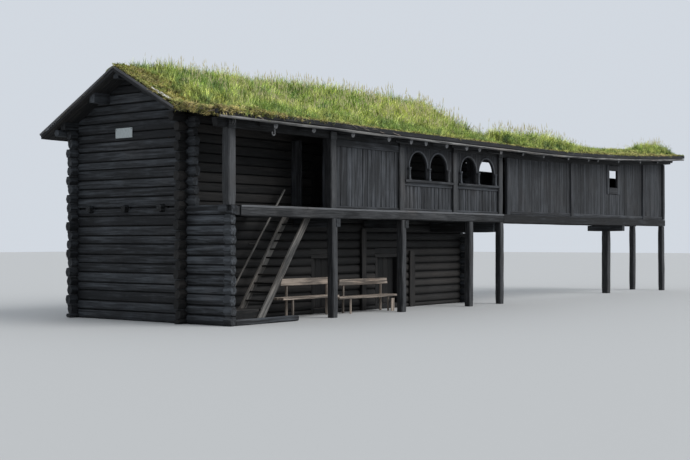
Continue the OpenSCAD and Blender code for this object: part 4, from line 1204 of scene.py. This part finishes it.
# The pole along the eave is of four lengths that lap: their ends in x
POLES = ((-0.85, 5.9), (5.7, 12.1), (11.9, 18.6), (18.4, 26.36))
EAVE_POLE_Y, EAVE_POLE_Z = -1.896, EAVE_Z - 0.044


class StorehouseRoofBoards(bpy.types.Operator):
    """Lays the roof boards and sets the barge boards and the kerbs along the eaves"""
    bl_idname = "storehouse.roof_boards"
    bl_label = "Roof Boards"

    def execute(self, context):
        colours = finish()
        dice = random.Random(91)
        # The roof boards' underside wears towards painted shade
        under = wood("roof_boards", colours.beam_dark, colours.painted_shade_worn, 0.4)
        edge = wood("edge_boards", colours.beam_dark, (0.1, 0.1, 0.104), 0.45)
        pole = wood("eave_pole", colours.beam_dark, (0.25, 0.245, 0.235), 0.6)
        mesh = new_timbers()
        for part in loose_parts("roof_boards"):
            self.slope(mesh, part, dice)
        piece("roof_boards", mesh, under)
        mesh = new_timbers()
        for part in loose_parts("barge_boards"):
            self.barge(mesh, part, dice)
        piece("barge_boards", mesh, edge)
        mesh = new_timbers()
        timber(mesh, at(-0.98, KERB_Y, KERB_Z), at(26.4, KERB_Y, KERB_Z), squared(0.056, 0.12, 0.01),
               Y_AXIS, dice, wander=0.012, bends=True, tone=-1.7)
        low, high = part_box(max(loose_parts("eave_kerbs"), key=lambda part: part_box(part)[0].y))
        squared_timber(mesh, low, high, dice, wander=0.006)
        piece("eave_kerbs", mesh, edge)
        mesh = new_timbers()
        for x0, x1 in POLES:
            lift = dice.uniform(-0.006, 0.006)
            start = at(x0, EAVE_POLE_Y + lift, EAVE_POLE_Z + lift)
            end = at(x1, EAVE_POLE_Y - lift, EAVE_POLE_Z)
            timber(mesh, start, end, circle_outline(0.034 + 0.5 * abs(lift), 10), Y_AXIS, dice,
                   wander=0.006, bends=True, tone=0.5)
        piece("eave_pole", mesh, pole)
        return {"FINISHED"}

    def slope(self, mesh, part, dice):
        """Boards laid down one slope, side by side along X"""
        low, high = part_box(part)
        stations = sorted({round(p.x, 3) for p in part})
        for x, end in cells(low.x, high.x, 0.22, dice):
            x1 = max(s for s in stations if s <= x + 0.001)
            x2 = min(s for s in stations if s >= x + 0.001) if x + 0.001 < stations[-1] else stations[-1]
            share = 0 if x2 - x1 < 1e-6 else ((x + end) / 2 - x1) / (x2 - x1)
            ends = []
            for pick in (min, max):
                y = pick(p.y for p in part)
                heights = []
                for station in (x1, x2):
                    column = [p.z for p in part if abs(p.x - station) < 0.003 and abs(p.y - y) < 0.02]
                    heights.append((min(column) + max(column)) / 2)
                ends.append(Vector(((x + end) / 2, y, heights[0] + (heights[1] - heights[0]) * share)))
            over_verge = x < LEFT - 0.4 and ends[1].y < BREAK_Y + 0.1
            timber(mesh, *ends, squared(end - x - 0.006, BOARD * 0.9, 0.004), X_AXIS, dice, step=0.8,
                   wander=0.003, cuts=VERGE_CUT if over_verge else ())

    def barge(self, mesh, part, dice):
        """A barge board down one slope, and a narrower one that laps over its upper edge"""
        low, high = part_box(part)
        x = (low.x + high.x) / 2
        ends = []
        for pick in (min, max):
            y = pick(p.y for p in part)
            column = [p.z for p in part if abs(p.y - y) < 0.01]
            ends.append(Vector((x, y, (min(column) + max(column)) / 2)))
        along = (ends[1] - ends[0]).normalized()
        up = Vector((0, -along.z, along.y))
        tall = 0.15 * along.y
        if x < LEFT and low.y < FRONT + 0.2:
            ends[0] -= along * 0.24
        # The lower board is darkened as painted shade and the narrow upper board lightened as painted light
        for out, lift, share, tone in ((0.01, -0.026, 0.62, -1), (-0.009, 0.04, 0.42, 2.6)):
            timber(mesh, ends[0] + X_AXIS * out + up * lift, ends[1] + X_AXIS * out + up * lift,
                   squared(0.022, tall * share, 0.004), X_AXIS, dice, wander=0.004, worn_end=1, tone=tone)


# Flakes of bark: x, y and length
FLAKES = ((-0.55, 0.52, 0.2), (-0.52, 0.42, 0.26), (-0.46, 0.45, 0.22), (-0.53, 0.3, 0.22),
          (-0.46, 0.27, 0.3), (-0.52, 0.15, 0.2), (-0.43, 0.16, 0.16))
# Dead stems under the turf: y, length and lift of those at the verge, x of those at the eave
VERGE_STEMS = ((-0.2, 0.5, 0.05), (-0.5, 0.4, 0.04), (-0.8, 0.6, 0.03), (-1.1, 0.5, 0.0),
               (-1.3, 0.6, 0.04), (-1.6, 0.3, -0.02))
EAVE_STEMS = (-0.7, -0.3, 0.4, 4.0, 4.3, 4.5, 4.9, 5.2, 5.8)


# Turf and grass
def verge_x(y):
    """Left edge of the gallery's roof, which runs out from the fold to the eave"""
    return LEFT - 0.455 - 0.25 * min(1.58, max(0, BREAK_Y - y))


class StorehouseTurf(bpy.types.Operator):
    """Lays the turf with its ragged edge, and the birch bark that shows under it at the verge"""
    bl_idname = "storehouse.turf"
    bl_label = "Turf"

    def execute(self, context):
        mesh = bmesh.new()
        mesh.from_mesh(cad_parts["turf"].data)
        bmesh.ops.remove_doubles(mesh, verts=mesh.verts, dist=1e-5)
        bmesh.ops.dissolve_limit(mesh, angle_limit=0.01, verts=mesh.verts, edges=mesh.edges)
        low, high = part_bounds("turf")
        for way, step in ((0, 0.12), (1, 0.1)):
            normal = (X_AXIS, Y_AXIS)[way]
            place = low[way] + step
            while place < high[way] - 0.02:
                bmesh.ops.bisect_plane(mesh, geom=[*mesh.verts, *mesh.edges, *mesh.faces], dist=1e-4,
                                       plane_co=normal * place, plane_no=normal)
                place += step
        bmesh.ops.triangulate(mesh, faces=[f for f in mesh.faces if len(f.verts) > 4])
        for vert in mesh.verts:
            if vert.co.y < BREAK_Y + 0.01:
                vert.co.x = max(vert.co.x, verge_x(vert.co.y))
        mesh.normal_update()
        for vert in mesh.verts:
            normal = vert.normal
            if normal.z < -0.5:
                continue
            lump = noise.fractal(vert.co * 3.1, 0.8, 2.0, 3) * 0.045 + noise.noise(vert.co * 11) * 0.018
            vert.co += normal * lump * (1.4 if abs(normal.z) < 0.6 else 1.0)
        piece("turf", mesh, turf_soil("mossy_turf"), angle=80)
        self.bark()
        return {"FINISHED"}

    def bark(self):
        """Curled flakes of birch bark between the barge board and the turf"""
        dice = random.Random(95)
        mesh = bmesh.new()
        for x, y, length in FLAKES:
            made = bmesh.ops.create_grid(mesh, x_segments=3, y_segments=6, size=0.5)["verts"]
            curl, wide = dice.uniform(0.1, 0.25), dice.uniform(0.03, 0.055)
            for vert in made:
                u, v = vert.co.x, vert.co.y
                ragged = noise.noise((u * 5 + y * 9, v * 7, 3.3)) * 0.02
                hollow = (0.25 - u * u) * wide * 0.9 + curl * v * v * 0.2
                vert.co = (wide * u + ragged, length * v, hollow)
            turn = Matrix.Rotation(dice.uniform(-0.3, 0.3), 3, "Z")
            turn = Matrix.Rotation(math.atan(SLOPE) + dice.uniform(-0.1, 0.1), 3, "X") @ turn
            bmesh.ops.rotate(mesh, cent=(0, 0, 0), matrix=turn, verts=made)
            height = RIDGE_Z - (1.98 - y) * SLOPE + 0.185 + dice.uniform(0, 0.03)
            bmesh.ops.translate(mesh, vec=at(x, y, height), verts=made)
        bmesh.ops.solidify(mesh, geom=mesh.faces[:], thickness=0.003)
        bark = flecked("birch_bark", finish().bark, (30, 14, 60), (1, 3, 0.6), (0.52, 0.68), 0.25)
        piece("birch_bark", mesh, bark, angle=60)


def bent_blade(mesh, reach, foot, height, width, lean, turn):
    """One blade of two sections that narrows to its tip"""
    made = bmesh.ops.create_grid(mesh, x_segments=1, y_segments=2, size=0.5)["verts"]
    for vert in made:
        share = vert.co.y + 0.5
        vert[reach] = share
        vert.co = Vector((vert.co.x * width * (1 - 0.35 * share), lean * share * share * height,
                          height * share * (1 - 0.35 * lean * share)))
    tip = [vert for vert in made if vert[reach] > 0.9]
    bmesh.ops.rotate(mesh, cent=(0, 0, 0), matrix=Matrix.Rotation(turn, 3, "Z"), verts=made)
    bmesh.ops.translate(mesh, vec=foot, verts=made)
    bmesh.ops.pointmerge(mesh, verts=tip, merge_co=sum((vert.co for vert in tip), Vector()) / len(tip))


def new_tuft(name, mesh):
    data = bpy.data.meshes.new(name)
    mesh.to_mesh(data)
    mesh.free()
    return bpy.data.objects.new(name, data)


def blade_tuft(name, dice, count, height, width, spread, droop):
    """A tuft of bent blades, with the height along each kept as an attribute"""
    mesh = bmesh.new()
    reach = mesh.verts.layers.float.new("reach")
    for number in range(count):
        foot = Vector((dice.gauss(0, spread), dice.gauss(0, spread), -0.03))
        bent_blade(mesh, reach, foot, height * dice.uniform(0.5, 1.0), width * dice.uniform(0.7, 1.3),
                   dice.uniform(0.1, 1.0) * droop, dice.uniform(0, math.tau))
    return new_tuft(name, mesh)


def stalk_tuft(name, dice, count, height):
    """Thin upright stalks, each with a seed head"""
    mesh = bmesh.new()
    reach = mesh.verts.layers.float.new("reach")
    for number in range(count):
        foot = Vector((dice.gauss(0, 0.12), dice.gauss(0, 0.12), -0.02))
        tall, lean, turn = height * dice.uniform(0.72, 1.0), dice.uniform(0, 0.16), dice.uniform(0, math.tau)
        bent_blade(mesh, reach, foot, tall, 0.009, lean, turn)
        made = bmesh.ops.create_cone(mesh, cap_ends=False, segments=4, radius1=0.01, radius2=0.002,
                                     depth=tall * dice.uniform(0.14, 0.24))["verts"]
        for vert in made:
            vert[reach] = 2.0
        head = foot + Vector((-math.sin(turn), math.cos(turn), 0)) * lean * tall * 0.9
        bmesh.ops.translate(mesh, vec=head + Vector((0, 0, tall * (0.96 - 0.35 * lean))), verts=made)
    return new_tuft(name, mesh)


def scatter(name, ground, tufts, count, seed, material, tilt=0.36, low_scale=0.5, high_scale=1.15):
    """Sets tufts all over a ground mesh with geometry nodes, and keeps the result as a plain mesh"""
    collection = bpy.data.collections.new(name + "_tufts")
    for tuft in tufts:
        collection.objects.link(tuft)
    group = bpy.data.node_groups.new(name + "_scatter", "GeometryNodeTree")
    for way in ("INPUT", "OUTPUT"):
        group.interface.new_socket("Geometry", in_out=way, socket_type="NodeSocketGeometry")
    tree = Nodes(group)

    def stored(name):
        node = tree.new("GeometryNodeInputNamedAttribute", {"Name": name}, data_type="FLOAT")
        return node.outputs["Attribute"]

    def dice(data_type, low, high, number):
        node = tree.new("FunctionNodeRandomValue", {"Seed": seed + number}, data_type=data_type)
        first, result = (0, 0) if data_type == "FLOAT_VECTOR" else (2, 1)
        node.inputs[first].default_value, node.inputs[first + 1].default_value = low, high
        return node.outputs[result]

    area = sum(face.area for face in ground.data.polygons)
    inputs = {"Seed": seed, "Mesh": tree.new("NodeGroupInput").outputs[0],
              "Density": tree.times(stored("growth"), count / area)}
    points = tree.new("GeometryNodeDistributePointsOnFaces", inputs, distribute_method="RANDOM")
    inputs = {"Collection": collection, "Separate Children": True, "Reset Children": True}
    choice = tree.new("GeometryNodeCollectionInfo", inputs)
    inputs = {"Pick Instance": True, "Points": points.outputs["Points"], "Instance": choice.outputs[0],
              "Rotation": dice("FLOAT_VECTOR", (-tilt, -tilt, 0), (tilt, tilt, math.tau), 1),
              "Scale": tree.times(dice("FLOAT", low_scale, high_scale, 2), stored("tall"))}
    stand = tree.new("GeometryNodeInstanceOnPoints", inputs)
    inputs = {"Name": "tone", "Geometry": stand.outputs["Instances"], "Value": dice("FLOAT", -1, 1, 3)}
    keep = tree.new("GeometryNodeStoreNamedAttribute", inputs, data_type="FLOAT", domain="INSTANCE")
    real = tree.new("GeometryNodeRealizeInstances", {"Geometry": keep.outputs["Geometry"]})
    tree.feed(tree.new("NodeGroupOutput").inputs[0], real.outputs["Geometry"])

    bpy.context.scene.collection.objects.link(ground)
    modifier = ground.modifiers.new("scatter", "NODES")
    modifier.node_group = group
    bpy.context.view_layer.update()
    grown = bpy.data.meshes.new_from_object(ground.evaluated_get(bpy.context.evaluated_depsgraph_get()))
    grown.materials.clear()
    grown.materials.append(material)
    grown.name = name
    thing = bpy.data.objects.new(name, grown)
    bpy.context.scene.collection.objects.link(thing)
    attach(thing, HOUSE)
    bpy.data.objects.remove(ground)
    for tuft in tufts:
        bpy.data.objects.remove(tuft)
    bpy.data.collections.remove(collection)
    bpy.data.node_groups.remove(group)


def ground_patch(name, x0, x1, edge, top, grow, rising=False):
    """A sloping patch of ground from an edge (y, z) up to a top (y, z), with growth and height kept"""
    mesh = bmesh.new()
    growth = mesh.verts.layers.float.new("growth")
    tall = mesh.verts.layers.float.new("tall")
    verts = bmesh.ops.create_grid(mesh, x_segments=round((x1 - x0) / 0.1), y_segments=24, size=0.5)["verts"]
    for vert in verts:
        across, share = vert.co.x + 0.5, vert.co.y + 0.5
        x = x0 + (x1 - x0) * across
        vert.co = (x, edge[0] + (top[0] - edge[0]) * share,
                   edge[1] + (top[1] - edge[1]) * share + (rise(x) if rising else 0))
        vert[growth], vert[tall] = grow(x - LEFT, share)
    bmesh.ops.recalc_face_normals(mesh, faces=mesh.faces)
    data = bpy.data.meshes.new(name)
    mesh.to_mesh(data)
    mesh.free()
    return bpy.data.objects.new(name, data)


def wild(x, low, high):
    """Growth that comes and goes along the roof"""
    return low + (high - low) * (0.5 + 0.5 * noise.noise((x * 0.9, 3.7, 0)) +
                                 0.25 * noise.noise((x * 3.1, 9.2, 0)))


def grow_front(x, share):
    verge = smooth(x, -0.2, 1.1)
    return 0.3 + 0.7 * verge, (0.22 + 0.78 * verge) * wild(x, 0.8, 1.08) * (1 + 0.36 * smooth(x, 4, 8))


def grow_gallery(x, share):
    verge, inward = smooth(x, -0.2, 2.4), smooth(share, 0.02, 0.8)
    return 0.25 + 0.75 * inward * verge, (0.16 + 0.8 * inward * verge) * wild(x, 0.75, 1.2)


def grow_rear(x, share):
    verge = min(smooth(x, -0.4, 0.4), smooth(-x, -12.9, -12.2))
    return 0.4 + 0.6 * verge, (0.3 + 0.7 * verge) * wild(x, 0.7, 1.1) * (0.6 + 0.4 * smooth(share, 0, 0.4))


def grow_passage(x, share):
    """Tall beside the house, low and mossy before the far end, and taller again at its very end"""
    low = smooth(x, 16, 20.5) * (1 - 0.75 * smooth(x, 23.3, 25))
    inward = smooth(share, 0.0, 0.6)
    return 0.4 + 0.6 * inward, (0.28 + 0.95 * inward) * (1 - 0.75 * low) * wild(x, 0.75, 1.15)


class StorehouseGrass(bpy.types.Operator):
    """Sows the grass, the stalks and the moss on the turf"""
    bl_idname = "storehouse.grass"
    bl_label = "Grass"

    def execute(self, context):
        colours = finish()
        size = sizes()
        part = 1
        grass = blades("grass", colours.grass_root, colours.grass_green, colours.grass_pale,
                       colours.grass_blue)
        moss = blades("moss", colours.soil, colours.moss, colours.moss_dry, colours.grass_green)
        rear_y = BACK + 0.55
        rear = (rear_y, RIDGE_Z - (rear_y - RIDGE_Y) * SLOPE + 0.12)
        ridge, fold = (RIDGE_Y, RIDGE_Z + 0.17), (BREAK_Y, BREAK_Z + 0.17)
        eave = (EAVE_Y + 0.04, EAVE_Z + 0.12)
        passage = (PASSAGE_Y, EAVE_Z + 0.42)
        far_eave = (2 * PASSAGE_Y - eave[0], eave[1])
        slopes = [("front", -0.5, 13.0, fold, ridge, grow_front, 1.0, 420),
                  ("gallery", -0.6, 13.0, eave, fold, grow_gallery, 0.85, 260),
                  ("rear", -0.5, 13.0, rear, ridge, grow_rear, 0.72, 320),
                  ("passage_front", 13.05, 26.3, eave, passage, grow_passage, 0.5, 200),
                  ("passage_rear", 13.05, 26.3, far_eave, passage, grow_passage, 0.3, 120)]
        dice = random.Random(101)
        for number, (name, x0, x1, edge, top, grow, share, stalks) in enumerate(slopes):
            place = (LEFT + x0, LEFT + x1, edge, top, grow, number > 2)
            tufts = [blade_tuft(f"tuft_{i}", dice, 14, size.grass_height, size.blade_width, 0.04, 0.9)
                     for i in range(5)]
            scatter("grass_" + name, ground_patch(name + "_ground", *place), tufts,
                    int(size.tufts * share * part), 200 + 10 * number, grass)
            tufts = [stalk_tuft(f"stalks_{i}", dice, 4, 1.32 * size.grass_height) for i in range(4)]
            scatter("stalks_" + name, ground_patch(name + "_stalk_ground", *place), tufts, int(stalks * part),
                    300 + 10 * number, grass, tilt=0.16, low_scale=0.7, high_scale=1.0)
        self.moss(moss, fold, ridge, dice, int(size.tufts * part))
        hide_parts("grass")
        return {"FINISHED"}

    def moss(self, moss, fold, ridge, dice, count):
        """Short growth over the verge and the eaves, and roots that hang out under it"""
        def all_over(x, share):
            return 1.0, 1.0

        def eave_rim(x, share):
            return 1.0, 0.75 + 0.5 * noise.noise((x * 2.3, 1.1, 0))

        def left_end(x, share):
            return 1 - 0.9 * smooth(x, 0.3, 2.6), 1.15 - 0.4 * smooth(x, 0, 2)

        def along_verge(x, share):
            return 1.0, 0.6 + 0.7 * abs(noise.noise((x * 4, share * 9, 2.2)))

        def cushions(count, height, width, spread=0.03):
            return [blade_tuft(f"cushion_{i}", dice, count, height, width, spread, 1.3) for i in range(4)]

        edge, inside = (EAVE_Y - 0.05, EAVE_Z + 0.12), (EAVE_Y + 0.3, EAVE_Z + 0.155)
        verge = ground_patch("verge_ground", LEFT - 0.57, LEFT + 0.75, fold, ridge, all_over)
        scatter("moss_verge", verge, cushions(12, 0.09, 0.02), int(count * 0.34), 401, moss, tilt=0.8)
        rim = ground_patch("rim_ground", LEFT - 1.0, PASSAGE_END - 0.05, edge, inside, eave_rim, rising=True)
        scatter("moss_eave", rim, cushions(12, 0.11, 0.022), int(count * 0.5), 411, moss, tilt=1.0)
        lip = ground_patch("lip_ground", LEFT - 0.9, LEFT + 4, (EAVE_Y - 0.07, EAVE_Z + 0.07),
                           (EAVE_Y + 0.05, EAVE_Z + 0.16), left_end)
        scatter("moss_lip", lip, cushions(12, 0.12, 0.02), int(count * 0.2), 421, moss, tilt=1.6)
        side = ground_patch("side_ground", LEFT - 0.89, LEFT - 0.5, (EAVE_Y + 0.02, EAVE_Z + 0.1),
                            (BREAK_Y, BREAK_Z + 0.13), along_verge)
        for vert in side.data.vertices:
            share = (vert.co.x - (LEFT - 0.89)) / 0.39
            vert.co.x = verge_x(vert.co.y) - 0.02 + 0.5 * max(0, share - 0.5)
            vert.co.z -= 0.26 * max(0, 0.5 - share)
        scatter("moss_side", side, cushions(12, 0.12, 0.02), int(count * 0.2), 431, moss, tilt=1.6)
        flat = ground_patch("flat_ground", LEFT + 18.5, LEFT + 24.2, (EAVE_Y + 0.03, EAVE_Z + 0.12),
                            (PASSAGE_Y, EAVE_Z + 0.42), all_over, rising=True)
        scatter("moss_flat", flat, cushions(8, 0.1, 0.024), int(count * 0.13), 441, moss, tilt=0.8)
        self.roots()

    def roots(self):
        """Dead stems and roots that stick out from under the turf at the left end of the eave"""
        dice = random.Random(105)
        mesh = new_timbers()
        for y, length, lift in VERGE_STEMS:
            height = BREAK_Z - (0.08 - y) * GALLERY_SLOPE + 0.06 + lift
            start = Vector((verge_x(FRONT + y) - 0.06, FRONT + y, height))
            way = Vector((dice.uniform(-0.1, 0.05), -1, dice.uniform(-0.35, 0.1))).normalized()
            timber(mesh, start, start + way * length, circle_outline(dice.uniform(0.006, 0.013), 6), X_AXIS,
                   dice, step=0.06, wander=0.04, worn_end=0.5, tone=1)
        for x in EAVE_STEMS:
            start = at(x, -1.945, EAVE_Z + dice.uniform(0.03, 0.11))
            way = Vector((dice.uniform(0.5, 1), 0, dice.uniform(-0.25, 0.2))).normalized()
            timber(mesh, start, start + way * dice.uniform(0.2, 0.4), circle_outline(0.007, 6), Y_AXIS,
                   dice, step=0.05, wander=0.02, worn_end=0.5, tone=1)
        piece("roots", mesh, wood("dead_stems", finish().bare_dark, finish().bare_pale, 0.6))


PLATE_SIZE, PLATE_MIDDLE, PLATE_EDGE = (0.006, 0.62, 0.25), at(-0.012, 2.22, 4.71), 0.002
NAILS = at(-0.012, 0.6, 4.52), at(-0.012, 1.94, 4.8), at(-0.012, 2.5, 4.8)


class StorehousePlate(bpy.types.Operator):
    """Hangs the bare plate and drives nails into the gable"""
    bl_idname = "storehouse.plate"
    bl_label = "Plate"

    def execute(self, context):
        mesh = bmesh.new()
        made = bmesh.ops.create_cube(mesh, size=1)["verts"]
        bmesh.ops.scale(mesh, vec=PLATE_SIZE, verts=made)
        bmesh.ops.translate(mesh, vec=PLATE_MIDDLE, verts=made)
        bmesh.ops.bevel(mesh, geom=mesh.edges[:], offset=PLATE_EDGE, offset_type="OFFSET", segments=2,
                        profile=0.5, affect="EDGES", material=-1)
        paint = flecked("plate_paint", finish().plate, (1, 9, 2.5), (6, 5, 0.65), (0.4, 0.75, 0, 0.6), 0.45)
        piece("plate", mesh, paint)
        mesh = bmesh.new()
        iron = rusty_iron("iron")
        for place in NAILS:
            made = bmesh.ops.create_cone(mesh, cap_ends=True, segments=12, radius1=0.011, radius2=0.008,
                                         depth=0.03)["verts"]
            bmesh.ops.rotate(mesh, cent=(0, 0, 0), matrix=Matrix.Rotation(-math.pi / 2, 3, "Y"), verts=made)
            bmesh.ops.translate(mesh, vec=place, verts=made)
        piece("nails", mesh, iron)
        return {"FINISHED"}


FLOOR_SIZE, FLOOR_DROP, FLOOR_COLOUR = 150, 0.002, (0.5, 0.5, 0.49)
SKY_COLOUR, SKY_STRENGTH = (0.86, 0.92, 1.0, 1), 0.75
SUN_STRENGTH, SUN_WIDTH, SUN_FROM = 1.9, math.radians(40), Vector((0.3, -0.72, 0.62))
LENS, SENSOR, CLIP_END = 61.28, 36, 500
EYE = (-32.672, -21.685, 1.998)
EYE_TURN = Euler((math.radians(90.522), 0, math.radians(-52.331)))


class StorehouseStage(bpy.types.Operator):
    """Lays the pale floor, sets the soft light and the camera"""
    bl_idname = "storehouse.stage"
    bl_label = "Stage"

    def execute(self, context):
        scene = context.scene
        mesh = bmesh.new()
        bmesh.ops.create_grid(mesh, x_segments=4, y_segments=4, size=FLOOR_SIZE)
        data = bpy.data.meshes.new("studio_floor")
        mesh.to_mesh(data)
        mesh.free()
        data.materials.append(Finish("pale_floor").made(FLOOR_COLOUR, 0.9))
        floor = bpy.data.objects.new("studio_floor", data)
        floor.location.z = -FLOOR_DROP

        world = bpy.data.worlds.new("soft_light")
        world.use_nodes = True
        backdrop = world.node_tree.nodes["Background"]
        backdrop.inputs["Color"].default_value = SKY_COLOUR
        backdrop.inputs["Strength"].default_value = SKY_STRENGTH
        scene.world = world

        sun = bpy.data.lights.new("soft_sun", "SUN")
        sun.energy = SUN_STRENGTH
        sun.angle = SUN_WIDTH
        lamp = bpy.data.objects.new("soft_sun", sun)
        lamp.rotation_euler = SUN_FROM.to_track_quat("Z", "Y").to_euler()

        camera = bpy.data.cameras.new("photo_view")
        camera.lens = LENS
        camera.sensor_width = SENSOR
        camera.sensor_fit = "HORIZONTAL"
        camera.clip_end = CLIP_END
        eye = bpy.data.objects.new("photo_view", camera)
        eye.location = EYE
        eye.rotation_euler = EYE_TURN
        for thing in (floor, lamp, eye):
            scene.collection.objects.link(thing)
        scene.camera = eye
        scene.view_settings.view_transform = "Standard"
        return {"FINISHED"}


class StorehousePanel(bpy.types.Panel):
    """Lists the pieces of the storehouse"""
    bl_idname = "VIEW3D_PT_storehouse"
    bl_label = "Storehouse"
    bl_space_type = "VIEW_3D"
    bl_region_type = "UI"
    bl_category = "Storehouse"

    def draw(self, context):
        layout = self.layout
        for group in (context.scene.storehouse_sizes, context.scene.storehouse_finish):
            for name in group.__annotations__:
                layout.prop(group, name)
        for operator in OPERATORS:
            layout.operator(operator.bl_idname)


OPERATORS = (StorehouseLogWalls, StorehouseGalleryLogs, StorehouseFrame, StorehouseFloors,
             StorehouseGalleryFront, StorehouseDoors, StorehouseStair, StorehousePassageWalls,
             StorehouseRoofBoards, StorehouseTurf, StorehouseGrass, StorehousePlate, StorehouseStage)
CLASSES = (StorehouseSizes, StorehouseFinish, *OPERATORS, StorehousePanel)


def register():
    for item in CLASSES:
        bpy.utils.register_class(item)
    bpy.types.Scene.storehouse_sizes = PointerProperty(type=StorehouseSizes)
    bpy.types.Scene.storehouse_finish = PointerProperty(type=StorehouseFinish)


def unregister():
    del bpy.types.Scene.storehouse_finish
    del bpy.types.Scene.storehouse_sizes
    for item in reversed(CLASSES):
        bpy.utils.unregister_class(item)


def main():
    """Builds every piece in order"""
    noise.seed_set(NOISE_SEED)
    register()
    for operator in OPERATORS:
        family, name = operator.bl_idname.split(".")
        getattr(getattr(bpy.ops, family), name)()


if __name__ == "__main__":
    main()
